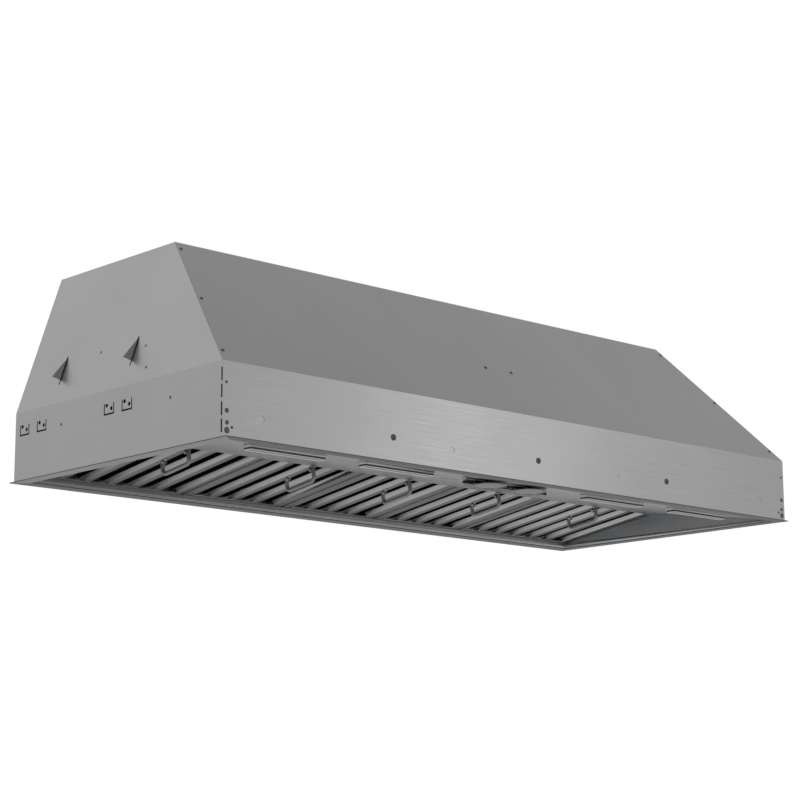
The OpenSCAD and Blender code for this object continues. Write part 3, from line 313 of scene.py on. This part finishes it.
def dressed(node, material, bevel=0, accents=(), shaped=None):
    """A copy of a node, smooth where it curves, with its edges broken by bevel mm. Each accent is
    a further material and a test of a face's middle and normal that gives the face to it. shaped
    is a function that changes the copy's mesh first."""
    bm = solid_of(node, bevel > 0)
    if shaped:
        shaped(bm)
        bm.normal_update()
    for index, (_, belongs) in enumerate(accents, 1):
        for face in bm.faces:
            if belongs(face.calc_center_median(), face.normal):
                face.material_index = index
    wide = [face for face in bm.faces if len(face.verts) > 4]
    bmesh.ops.triangulate(bm, faces=wide)
    piece = piece_from("dressed_" + node, bm)
    for finish in (material, *(accent[0] for accent in accents)):
        piece.data.materials.append(finish)
    if bevel > 0:
        edge = piece.modifiers.new("broken edges", "BEVEL")
        edge.width = bevel * MM
        edge.segments = 2
        edge.limit_method = "ANGLE"
        edge.angle_limit = BROKEN_ANGLE
    flat = piece.modifiers.new("flat faces", "WEIGHTED_NORMAL")
    flat.keep_sharp = True
    mount(piece, node, (node,))


def round_of(centre, radius, height):
    """The points of an upright circle round a centre, ROUND_STEPS of them."""
    turns = [2 * math.pi * k / ROUND_STEPS for k in range(ROUND_STEPS)]
    return [centre + Vector((radius * math.cos(a), radius * math.sin(a), height)) for a in turns]


def lathe(bm, profile, centre):
    """Turns a profile of radius and height round an upright axis and closes its ends."""
    rings = [[bm.verts.new(point) for point in round_of(centre, radius, height)]
             for radius, height in profile]
    for low, high in zip(rings, rings[1:]):
        for k in range(ROUND_STEPS):
            n = (k + 1) % ROUND_STEPS
            bm.faces.new((low[k], low[n], high[n], high[k]))
    bm.faces.new(rings[0])
    bm.faces.new(rings[-1])
    bmesh.ops.recalc_face_normals(bm, faces=bm.faces)


# Geometry trees

# Length of each bar of a screw's cross recess, as a share of the head's radius
RECESS_LEN = 1.1


def new_tree(name, sizes):
    """A geometry tree with a geometry input and a named input for each size."""
    tree = bpy.data.node_groups.new(name, "GeometryNodeTree")
    tree.interface.new_socket("Geometry", in_out="INPUT", socket_type="NodeSocketGeometry")
    for size in sizes:
        tree.interface.new_socket(size, in_out="INPUT", socket_type="NodeSocketFloat")
    tree.interface.new_socket("Geometry", in_out="OUTPUT", socket_type="NodeSocketGeometry")
    return tree, add(tree, "NodeGroupInput").outputs


def close_tree(tree, geometry, material):
    """Ends a tree: real geometry with its material."""
    real = add(tree, "GeometryNodeRealizeInstances", {"Geometry": geometry})
    painted = add(tree, "GeometryNodeSetMaterial", {"Geometry": real.outputs["Geometry"],
                                                    "Material": material})
    add(tree, "NodeGroupOutput", {"Geometry": painted.outputs["Geometry"]})
    return tree


def grown(name, tree, places, sizes):
    """Runs a tree on places, each a point, a direction and a radius, and keeps a plain mesh."""
    seed = bpy.data.meshes.new(name + "_places")
    seed.from_pydata([place[0] for place in places], [], [])
    for key, kind in (("facing", "FLOAT_VECTOR"), ("reach", "FLOAT")):
        seed.attributes.new(key, kind, "POINT")
    for k, (_, direction, radius) in enumerate(places):
        seed.attributes["facing"].data[k].vector = direction
        seed.attributes["reach"].data[k].value = radius
    source = bpy.data.objects.new(name + "_places", seed)
    bpy.context.scene.collection.objects.link(source)
    run = source.modifiers.new("tree", "NODES")
    run.node_group = tree
    for item in tree.interface.items_tree:
        if item.in_out == "INPUT" and item.name in sizes:
            run[item.identifier] = sizes[item.name]
    shown = source.evaluated_get(bpy.context.evaluated_depsgraph_get())
    mesh = bpy.data.meshes.new_from_object(shown)
    source.modifiers.remove(run)
    bpy.data.objects.remove(source)
    mesh.name = name
    return piece_of_mesh(name, mesh, SHARP_GROWN)


def set_on_places(tree, start, thing, scale=None):
    """Instances a thing on the places, its Z along each direction."""
    facing = add(tree, "GeometryNodeInputNamedAttribute", {"Name": "facing"},
                 data_type="FLOAT_VECTOR")
    aimed = add(tree, "FunctionNodeAlignRotationToVector", {"Vector": facing.outputs["Attribute"]},
                axis="Z")
    links = {"Points": start["Geometry"], "Instance": thing, "Rotation": aimed.outputs["Rotation"]}
    if scale is not None:
        links["Scale"] = scale
    return add(tree, "GeometryNodeInstanceOnPoints", links).outputs["Instances"]


def head_tree(name, material, recessed):
    """Domed heads that sit on the places, each as wide as its place says, with a cross recess
    if they are screws. The recess is measured in shares of the head's radius."""
    tree, start = new_tree(name, ("Head Height", "Edge Height", "Recess Width", "Recess Depth"))
    drum = add(tree, "GeometryNodeMeshCylinder", {"Vertices": 32, "Side Segments": 1,
                                                  "Fill Segments": 5, "Radius": 1.0,
                                                  "Depth": start["Edge Height"]})
    half = add(tree, "ShaderNodeMath", {0: start["Edge Height"], 1: 2.0}, operation="DIVIDE")
    base = add(tree, "ShaderNodeCombineXYZ", {"Z": half.outputs["Value"]})
    seated = add(tree, "GeometryNodeSetPosition", {"Geometry": drum.outputs["Mesh"],
                                                   "Offset": base.outputs["Vector"]})
    place = add(tree, "GeometryNodeInputPosition")
    parts = add(tree, "ShaderNodeSeparateXYZ", {"Vector": place.outputs["Position"]})
    flat = add(tree, "ShaderNodeCombineXYZ", {"X": parts.outputs["X"], "Y": parts.outputs["Y"]})
    out = add(tree, "ShaderNodeVectorMath", {0: flat.outputs["Vector"]}, operation="LENGTH")
    square = add(tree, "ShaderNodeMath", {0: out.outputs["Value"], 1: 2.0}, operation="POWER")
    crown = add(tree, "ShaderNodeMath", {0: start["Head Height"], 1: start["Edge Height"]},
                operation="SUBTRACT")
    fall = add(tree, "ShaderNodeMath", {0: 1.0, 1: square.outputs["Value"]}, operation="SUBTRACT")
    rise = add(tree, "ShaderNodeMath", {0: crown.outputs["Value"], 1: fall.outputs["Value"]},
               operation="MULTIPLY")
    lift = add(tree, "ShaderNodeCombineXYZ", {"Z": rise.outputs["Value"]})
    domed = add(tree, "GeometryNodeSetPosition", {"Geometry": seated.outputs["Geometry"],
                                                  "Selection": drum.outputs["Top"],
                                                  "Offset": lift.outputs["Vector"]})
    head = domed.outputs["Geometry"]
    if recessed:
        deep = add(tree, "ShaderNodeMath", {0: start["Recess Depth"], 1: 2.0}, operation="MULTIPLY")
        raised = add(tree, "ShaderNodeCombineXYZ", {"Z": start["Head Height"]})
        for angle in (0, math.pi / 2):
            bar_size = add(tree, "ShaderNodeCombineXYZ", {"X": RECESS_LEN,
                                                          "Y": start["Recess Width"],
                                                          "Z": deep.outputs["Value"]})
            bar = add(tree, "GeometryNodeMeshCube", {"Size": bar_size.outputs["Vector"]})
            turned = add(tree, "GeometryNodeTransform", {"Geometry": bar.outputs["Mesh"],
                                                         "Translation": raised.outputs["Vector"],
                                                         "Rotation": (0, 0, angle)})
            head = add(tree, "GeometryNodeMeshBoolean", {"Mesh 1": head,
                                                         "Mesh 2": turned.outputs["Geometry"]},
                       operation="DIFFERENCE").outputs["Mesh"]
    wide = add(tree, "GeometryNodeInputNamedAttribute", {"Name": "reach"}, data_type="FLOAT")
    scale = add(tree, "ShaderNodeCombineXYZ", {"X": wide.outputs["Attribute"],
                                               "Y": wide.outputs["Attribute"], "Z": 1.0})
    return close_tree(tree, set_on_places(tree, start, head, scale.outputs["Vector"]), material)


def coil_tree(name, material):
    """Coils of round wire whose axis runs along each place's direction."""
    tree, start = new_tree(name, ("Coil Radius", "Coil Length", "Turns", "Wire Radius"))
    wound = add(tree, "GeometryNodeCurveSpiral", {"Resolution": 28, "Rotations": start["Turns"],
                                                  "Start Radius": start["Coil Radius"],
                                                  "End Radius": start["Coil Radius"],
                                                  "Height": start["Coil Length"]})
    ring = add(tree, "GeometryNodeCurvePrimitiveCircle", {"Resolution": 10,
                                                          "Radius": start["Wire Radius"]})
    wire = add(tree, "GeometryNodeCurveToMesh", {"Curve": wound.outputs["Curve"],
                                                 "Profile Curve": ring.outputs["Curve"],
                                                 "Fill Caps": True})
    return close_tree(tree, set_on_places(tree, start, wire.outputs["Mesh"]), material)


def knurl_tree(name, material):
    """Upright ribs round a dial's edge, as many as Ribs says, centred on each place."""
    tree, start = new_tree(name, ("Ribs", "Edge Radius", "Rib Radius", "Rib Height"))
    ring = add(tree, "GeometryNodeMeshCircle", {"Vertices": start["Ribs"],
                                                "Radius": start["Edge Radius"]})
    rib = add(tree, "GeometryNodeMeshCylinder", {"Vertices": 8, "Radius": start["Rib Radius"],
                                                 "Depth": start["Rib Height"]})
    ribs = add(tree, "GeometryNodeInstanceOnPoints", {"Points": ring.outputs["Mesh"],
                                                      "Instance": rib.outputs["Mesh"]})
    whole = add(tree, "GeometryNodeRealizeInstances", {"Geometry": ribs.outputs["Instances"]})
    return close_tree(tree, set_on_places(tree, start, whole.outputs["Geometry"]), material)


# Shell and works: each piece's node, its material and by how many mm its edges are broken
for node, finish, broken in (
        ("front_panel", front_steel, 0), ("upper_front_panel", shaded_slope_steel, 0),
        ("back_panel", rear_steel, 0), ("top_panel", rear_steel, 0),
        ("inner_liner", liner_steel, 0), ("filter_rails", liner_steel, 0),
        ("duct_collar", zinc_steel, 0), ("damper_flap_front", zinc_steel, 0),
        ("damper_flap_rear", zinc_steel, 0), ("damper_pin", shaft_steel, 0.3),
        ("junction_box", zinc_steel, 0), ("junction_cover", zinc_steel, 0.3),
        ("lamp_driver", driver_plastic, 1.5), ("control_carrier", zinc_steel, 0),
        ("control_board", board_green, 0), ("blower_housing", zinc_steel, 0),
        ("impeller", impeller_metal, 0), ("motor_shaft", shaft_steel, 0.4),
        ("motor", motor_paint, 2.5), ("motor_bracket", zinc_steel, 0),
        ("wing_brackets", zinc_steel, 0), ("control_window", black_plastic_and_shade, 0)):
    dressed(node, finish, broken)


# Tests of a face for the accents

def upright(middle, normal):
    return abs(normal.z) < LEVEL


def facing_down(middle, normal):
    return normal.z < -LEVEL


# Sides and wings: the floors of a side's dimples and the root of a wing, in its slot, are painted dark: painted
# shade.
# A sheet's planes are its faces of more than 0.002 square metres. Two directions are the same
# if their product is above SAME_WAY, and a sloping plane leans by more than SLOPING both ways
WIDE_FACE = 0.002
SAME_WAY = 0.999
SLOPING = 0.2
# How far below a plane the floor of a dimple lies, at least and at most
DIMPLE_LEAST, DIMPLE_MOST = 0.3 * MM, 0.7 * MM
# How far the painted shade at a wing's root stands out of the slope
ROOT_BAND = 1.4 * MM


def planes_of(node):
    """The normal and the distance from the origin of each wide face of a sheet."""
    bm = solid_of(node)
    found = [(face.normal.copy(), face.normal.dot(face.calc_center_median()))
             for face in bm.faces if face.calc_area() > WIDE_FACE]
    bm.free()
    return found


def dress_side(side):
    """A side panel and its two wings."""
    planes = planes_of(side + "_side_panel")

    # Floors of the dimples, which get the painted shade
    def shaded_dimple_floor(middle, normal):
        return any(normal.dot(way) > SAME_WAY
                   and DIMPLE_LEAST < reach - normal.dot(middle) < DIMPLE_MOST
                   for way, reach in planes)

    slope, slope_reach = max(((way, reach) for way, reach in planes
                              if way.z > SLOPING and abs(way.x) > SLOPING),
                             key=lambda plane: plane[1])
    root_reach = slope_reach + ROOT_BAND

    def cut_at_root(bm):
        cut_across(bm, slope * root_reach, slope)

    def shaded_root(middle, normal):
        return slope.dot(middle) < root_reach

    dressed(side + "_side_panel", side_steel, accents=((shade_edge_steel, shaded_dimple_floor),))
    for end in ("front", "rear"):
        dressed("wing_%s_%s" % (side, end), wing_steel, accents=((deep_shade_steel, shaded_root),),
                shaped=cut_at_root)


for side in ("left", "right"):
    dress_side(side)


# Rim: upright faces painted dark as shade, and a flange along the left side painted paler as painted light
FLANGE_W = 24 * MM
RIM_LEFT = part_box("bottom_rim")[0].x + FLANGE_W


def lit_left_flange(middle, normal):
    return facing_down(middle, normal) and middle.x < RIM_LEFT


dressed("bottom_rim", rim_steel, accents=((shade_edge_steel, upright), (lit_rim_side_steel, lit_left_flange)))

# Lamp panel: the cut walls of its slit are painted black as shade. The slit lies between these two, and reaches
# no further than this to either side
SLIT_FRONT, SLIT_REAR = -118 * MM, -113.5 * MM
SLIT_REACH = 80 * MM


def slit_wall(middle, normal):
    return (SLIT_FRONT < middle.y < SLIT_REAR and abs(middle.x) < SLIT_REACH
            and upright(middle, normal))


dressed("lamp_panel", panel_steel, accents=((black_plastic_and_shade, slit_wall),))

# Filters: lower channels painted bright and upper ones painted dark, as painted light and shade, and a wire handle
# each. Heights are measured from the filters' lower faces along FILTER_UP
CHANNEL_TOP = 7.5 * MM
CHANNEL_H = 7 * MM
# Walls of pressed sheet lean: a channel's floor is narrower by this share, and a lip leans by this
LEAN_SHARE = 0.3
LIP_LEAN = 2.2 * MM
# Points closer than this are on the same line
TOUCH = 0.02 * MM


# Faces of the upper channels, which get the painted deep shade
def upper_channel(middle, normal):
    return middle.dot(FILTER_UP) > FILTER_LOW + CHANNEL_TOP


# Lower faces, which get the painted shade
def lower_face(middle, normal):
    return not upper_channel(middle, normal) and normal.dot(FILTER_UP) < -LEVEL


def leaning_walls(bm):
    """Narrows the lower channels towards their floors, so that their walls lean outwards. Taller
    solids and the upper channels stay as they are."""
    for group in separate(bm):
        heights = [v.co.dot(FILTER_UP) - FILTER_LOW for v in group]
        if max(heights) > 2 * CHANNEL_TOP or min(heights) > CHANNEL_TOP:
            continue
        top = max(heights)
        middle = (min(v.co.x for v in group) + max(v.co.x for v in group)) / 2
        for vert, height in zip(group, heights):
            if height > 0:
                fall = 1 - (height - top + CHANNEL_H) / CHANNEL_H
                vert.co.x += (middle - vert.co.x) * LEAN_SHARE * fall


def leaning_lips(bm):
    """Leans the frame's lips the same way as the channels' walls."""
    tops = [v.co.x for v in bm.verts
            if abs(v.co.dot(FILTER_UP) - FILTER_LOW - CHANNEL_H) < TOUCH]
    middle = (min(tops) + max(tops)) / 2
    for vert in bm.verts:
        height = vert.co.dot(FILTER_UP) - FILTER_LOW
        if height < CHANNEL_H and min(abs(vert.co.x - x) for x in tops) < TOUCH:
            lean = LIP_LEAN * (1 - height / CHANNEL_H)
            vert.co.x += math.copysign(lean, vert.co.x - middle)


shaded_lower = (shaded_face_steel, lower_face)
shaded_channels = (deep_shade_steel, upper_channel)
for i in range(1, FILTER_COUNT + 1):
    dressed("filter_frame_%d" % i, lit_filter_steel, accents=(shaded_lower,), shaped=leaning_lips)
    dressed("filter_baffles_%d" % i, lit_filter_steel, accents=(shaded_channels, shaded_lower), shaped=leaning_walls)
    node = "filter_handle_%d" % i
    bail = piece_from("wire_bail_%d" % i, solid_of(node, False), SHARP_WIRE)
    bail.data.materials.append(wire_steel)
    mount(bail, node, (node,))

# Lamps: a satin body with a black strip of painted shade along the foot of its front, and a frosted lens
LAMP_STEP_TOP = 4.9 * MM


def lamp_foot_shade(middle, normal):
    return middle.z < LAMP_STEP_TOP and upright(middle, normal)


for i in range(1, LAMP_COUNT + 1):
    dressed("lamp_housing_%d" % i, lamp_metal, accents=((black_plastic_and_shade, lamp_foot_shade),))
    dressed("lamp_lens_%d" % i, lens_plastic)

# Control bar: ends that slant, and black painted shade round the window on the lower part of its front.
# The slant is so much to the side for each step to the rear, for END_LEN at each end, below END_TOP
END_SLANT = 0.8
END_LEN = 12 * MM
END_TOP = 12.2 * MM
# How far above the window the painted shade ends
BAND_OVER = 2.2 * MM
BAND_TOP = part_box("control_window")[1].z + BAND_OVER


def slanted_ends(bm):
    """Draws the ends in towards the rear, as the moulding's draft does, and parts the front
    where the black painted shade ends."""
    front = min(v.co.y for v in bm.verts)
    ends = [pick(v.co.x for v in bm.verts) for pick in (min, max)]
    for vert in bm.verts:
        for end, way in zip(ends, (1, -1)):
            if abs(vert.co.x - end) < END_LEN and vert.co.z < END_TOP:
                vert.co.x += way * (vert.co.y - front) * END_SLANT
    cut_across(bm, (0, 0, BAND_TOP), (0, 0, 1))


def window_shade_band(middle, normal):
    return normal.y < -LEVEL and middle.z < BAND_TOP


# The bar's faces turned down get the filters' painted shade
dressed("control_bar", lamp_metal, shaped=slanted_ends,
        accents=((shaded_face_steel, facing_down), (black_plastic_and_shade, window_shade_band)))

# Dials: a thin turned disc with a ribbed edge under a black neck and hub; the groove and the neck are painted
# black as shade
DIAL_EDGE = 0.3 * MM
DIAL_DISC = 1.2 * MM
DIAL_GROOVE = 0.4 * MM
# Radius of the disc as a share of the solid drum's
DISC_SHARE = 0.94
# Radii as shares of the disc's: the face's middle, the groove's two walls and the neck
CENTRE_SHARE = 0.3
GROOVE_IN, GROOVE_OUT = 0.86, 0.92
NECK_SHARE = 0.7
# The middles of the groove's wall faces lie this share closer to the axis than its corners
GROOVE_SLACK = 0.005
RIB_R = 0.25 * MM
RIB_COUNT = 120
# Points whose heights differ by less than this, in metres, are at the same height
SAME_HEIGHT = 1e-6
knurl = knurl_tree("dial_ribs", dial_metal)
for node in ("fan_dial", "light_dial"):
    low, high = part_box(node)
    middle = (low + high) / 2
    radius = (high.x - low.x) / 2 * DISC_SHARE - RIB_R
    heights = sorted({round(v.co.z, 6) for v in NODES[node].data.vertices})
    bottom, face_top, hub_top, top = heights
    hub_r, spindle_r = (max(math.hypot(v.co.x - middle.x, v.co.y - middle.y)
                            for v in NODES[node].data.vertices if abs(v.co.z - z) < SAME_HEIGHT)
                        for z in (hub_top, top))
    bm = bmesh.new()
    disc_top = bottom + DIAL_DISC
    neck_r = radius * NECK_SHARE
    groove_top = bottom + DIAL_GROOVE
    lathe(bm, ((radius * CENTRE_SHARE, bottom), (radius * GROOVE_IN, bottom),
               (radius * GROOVE_IN, groove_top), (radius * GROOVE_OUT, groove_top),
               (radius * GROOVE_OUT, bottom), (radius - DIAL_EDGE, bottom),
               (radius, bottom + DIAL_EDGE), (radius, disc_top - DIAL_EDGE),
               (radius - DIAL_EDGE, disc_top), (neck_r, disc_top), (neck_r, face_top),
               (hub_r, face_top), (hub_r, hub_top), (spindle_r, hub_top), (spindle_r, top)),
          Vector((middle.x, middle.y, 0)))
    for face in bm.faces:
        at = face.calc_center_median()
        out = math.hypot(at.x - middle.x, at.y - middle.y) / radius
        shaded_neck = at.z > disc_top - DIAL_EDGE / 2
        shaded_groove = (GROOVE_IN - GROOVE_SLACK < out < GROOVE_OUT + GROOVE_SLACK
                   and bottom + DIAL_GROOVE / 4 < at.z < disc_top)
        face.material_index = int(shaded_neck or shaded_groove)
    turned = piece_from("turned_" + node, bm)
    for finish in (dial_metal, black_plastic_and_shade):
        turned.data.materials.append(finish)
    mount(turned, node, (node,))
    ribs = grown("ribs_" + node, knurl,
                 [((middle.x, middle.y, (bottom + disc_top) / 2), (0, 0, 1), 1)],
                 {"Ribs": RIB_COUNT, "Edge Radius": radius, "Rib Radius": RIB_R,
                  "Rib Height": disc_top - bottom - 2 * DIAL_EDGE})
    mount(ribs, node)


# Screws and rivets: their places and widths come from the heads' flat faces in the frame

def head_places(node, sink):
    """The middle of each head's foot, its direction and its radius."""
    bm = solid_of(node)
    places = []
    for group in separate(bm):
        top = max((face for vert in group for face in vert.link_faces),
                  key=lambda face: face.calc_area())
        middle = top.calc_center_bounds()
        places.append((middle - top.normal * sink, top.normal.copy(),
                       max((vert.co - middle).length for vert in top.verts)))
    bm.free()
    return places


# Height of the heads, the shares of it that are their upright edges and the recess's depth, and
# the recess's width as a share of the head's radius
HEAD_H, HEAD_EDGE_SHARE = 1.4 * MM, 0.4
RIVET_H, RIVET_EDGE_SHARE = 0.7 * MM, 0.25
RECESS_DEPTH_SHARE = 0.5
RECESS_W = 0.24
screws = grown("cross_head_screws", head_tree("screw_heads", fastener_steel, True),
               head_places("panel_screws", HEAD_H),
               {"Head Height": HEAD_H, "Edge Height": HEAD_EDGE_SHARE * HEAD_H,
                "Recess Width": RECESS_W, "Recess Depth": RECESS_DEPTH_SHARE * HEAD_H})
mount(screws, "panel_screws", ("panel_screws",))
rivets = grown("domed_rivets", head_tree("rivet_heads", fastener_steel, False),
               head_places("panel_rivets", RIVET_H),
               {"Head Height": RIVET_H, "Edge Height": RIVET_EDGE_SHARE * RIVET_H})
mount(rivets, "panel_rivets", ("panel_rivets",))

# Coils of the wing springs, wound round the wings' pins. All are the same size
WIRE_R = 0.7 * MM
TURN_PITCH = 2.1 * WIRE_R
coil_solids = solid_of("wing_springs")
coil_places = []
for group in separate(coil_solids):
    low = Vector(min(v.co[k] for v in group) for k in range(3))
    high = Vector(max(v.co[k] for v in group) for k in range(3))
    coil_places.append((Vector(((low.x + high.x) / 2, low.y + WIRE_R, (low.z + high.z) / 2)),
                        (0, 1, 0), 1))
coil_r = (high.x - low.x) / 2 - WIRE_R
coil_len = high.y - low.y - 2 * WIRE_R
coil_solids.free()
springs = grown("coiled_springs", coil_tree("wing_coils", spring_wire), coil_places,
                {"Coil Radius": coil_r, "Coil Length": coil_len, "Turns": coil_len / TURN_PITCH,
                 "Wire Radius": WIRE_R})
mount(springs, "wing_springs", ("wing_springs",))

# Indicator lights: milky pins in the window's holes, LIGHT_BACK behind its face and tapered
LIGHT_COUNT = 5
LIGHT_PITCH = 5 * MM
LIGHT_R = 0.75 * MM
LIGHT_TIP_SHARE = 0.8
LIGHT_LEN = 1.0 * MM
LIGHT_BACK = 0.7 * MM
window_low, window_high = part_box("control_window")
pins = bmesh.new()
for k in range(LIGHT_COUNT):
    centre = Vector(((k - (LIGHT_COUNT - 1) / 2) * LIGHT_PITCH, window_low.y + LIGHT_BACK,
                     (window_low.z + window_high.z) / 2))
    turn = Matrix.Translation(centre) @ Matrix.Rotation(math.pi / 2, 4, "X")
    bmesh.ops.create_cone(pins, cap_ends=True, segments=20, radius1=LIGHT_R,
                          radius2=LIGHT_R * LIGHT_TIP_SHARE, depth=LIGHT_LEN, matrix=turn)
lights = piece_from("indicator_lights", pins)
lights.data.materials.append(light_plastic)
mount(lights, "control_window")

# Stage: a pale round floor well below the insert, which hangs high as it does above a cooktop.
# It is see-through from below, so that a low camera still sees the insert
FLOOR_Z = -0.75
FLOOR_R = 8.0
# Matt paint of the floor: pale grey, without any shine
floor_paint, tree, shader = new_material("matt_pale_floor", Base_Color=linear("#e9e9e9"),
                                         Roughness=0.9)
under = add(tree, "ShaderNodeNewGeometry")
clear = add(tree, "ShaderNodeBsdfTransparent")
one_way = add(tree, "ShaderNodeMixShader", {"Fac": under.outputs["Backfacing"]})
tree.links.new(shader.outputs["BSDF"], one_way.inputs[1])
tree.links.new(clear.outputs["BSDF"], one_way.inputs[2])
tree.links.new(one_way.outputs["Shader"], tree.nodes["Material Output"].inputs["Surface"])
floor_bm = bmesh.new()
floor_bm.faces.new([floor_bm.verts.new(point)
                    for point in round_of(Vector((0, 0, 0)), FLOOR_R, FLOOR_Z)])
floor = piece_from("floor", floor_bm)
floor.data.materials.append(floor_paint)


def soft_light(name, place, aim, width, height, power):
    """A rectangular area light that faces a point."""
    lamp = bpy.data.lights.new(name, "AREA")
    lamp.shape = "RECTANGLE"
    lamp.size = width
    lamp.size_y = height
    lamp.energy = power
    lit = bpy.data.objects.new(name, lamp)
    bpy.context.scene.collection.objects.link(lit)
    lit.location = place
    lit.rotation_mode = "QUATERNION"
    lit.rotation_quaternion = (Vector(aim) - Vector(place)).to_track_quat("-Z", "Y")


# A narrow softbox whose reflection makes the soft bright middle of the front band
soft_light("front_softbox", place=(1.85, -2.31, 0.5), aim=(-0.1, -0.24, 0.05), width=0.4,
           height=1.2, power=2.3)
# A softbox behind and above the left side, which lifts the side's slope
soft_light("left_softbox", place=(-1.9, 2.3, 2.1), aim=(-0.55, 0, 0.2), width=1.2,
           height=1.2, power=0.7)

# Studio: an even white room. What the camera and reflections see of it is full white, and the
# light that it gives is a little less
ROOM_LIGHT = 0.8
ROOM_SEEN = 1.0
world = bpy.data.worlds.new("studio")
bpy.context.scene.world = world
world.use_nodes = True
tree = world.node_tree
tree.nodes.clear()
path = add(tree, "ShaderNodeLightPath")
direct = add(tree, "ShaderNodeMath", {0: path.outputs["Is Camera Ray"],
                                      1: path.outputs["Is Glossy Ray"]}, operation="MAXIMUM")
seen = add(tree, "ShaderNodeMath", {0: direct.outputs["Value"],
                                    1: path.outputs["Is Transmission Ray"]}, operation="MAXIMUM")
room = add(tree, "ShaderNodeBackground", {"Color": linear("#ffffff"), "Strength": ROOM_LIGHT})
white = add(tree, "ShaderNodeBackground", {"Color": linear("#ffffff"), "Strength": ROOM_SEEN})
sky = add(tree, "ShaderNodeMixShader", {"Fac": seen.outputs["Value"], 1: room.outputs["Background"],
                                        2: white.outputs["Background"]})
add(tree, "ShaderNodeOutputWorld", {"Surface": sky.outputs["Shader"]})

# Camera: solved from the body's straight edges in the photo
CAMERA_YAW = math.radians(42.680)
CAMERA_PITCH = math.radians(11.398)
CAMERA_ROLL = math.radians(-0.217)
CAMERA_PLACE = Vector((-2197.1, -2330.9, -484.0)) * MM
CAMERA_LENS = 95.27
camera = bpy.data.cameras.new("camera")
camera.lens = CAMERA_LENS
camera.sensor_width = 36
camera.clip_start = 0.05
camera.clip_end = 60
eye = bpy.data.objects.new("camera", camera)
bpy.context.scene.collection.objects.link(eye)
ahead = Vector((math.sin(CAMERA_YAW) * math.cos(CAMERA_PITCH),
                math.cos(CAMERA_YAW) * math.cos(CAMERA_PITCH), math.sin(CAMERA_PITCH)))
level = Vector((math.cos(CAMERA_YAW), -math.sin(CAMERA_YAW), 0))
above = level.cross(ahead)
right = level * math.cos(CAMERA_ROLL) + above * math.sin(CAMERA_ROLL)
upward = above * math.cos(CAMERA_ROLL) - level * math.sin(CAMERA_ROLL)
turned = Matrix((right, upward, -ahead)).transposed().to_4x4()
eye.matrix_world = Matrix.Translation(CAMERA_PLACE) @ turned
bpy.context.scene.camera = eye
bpy.context.scene.view_settings.view_transform = "Standard"
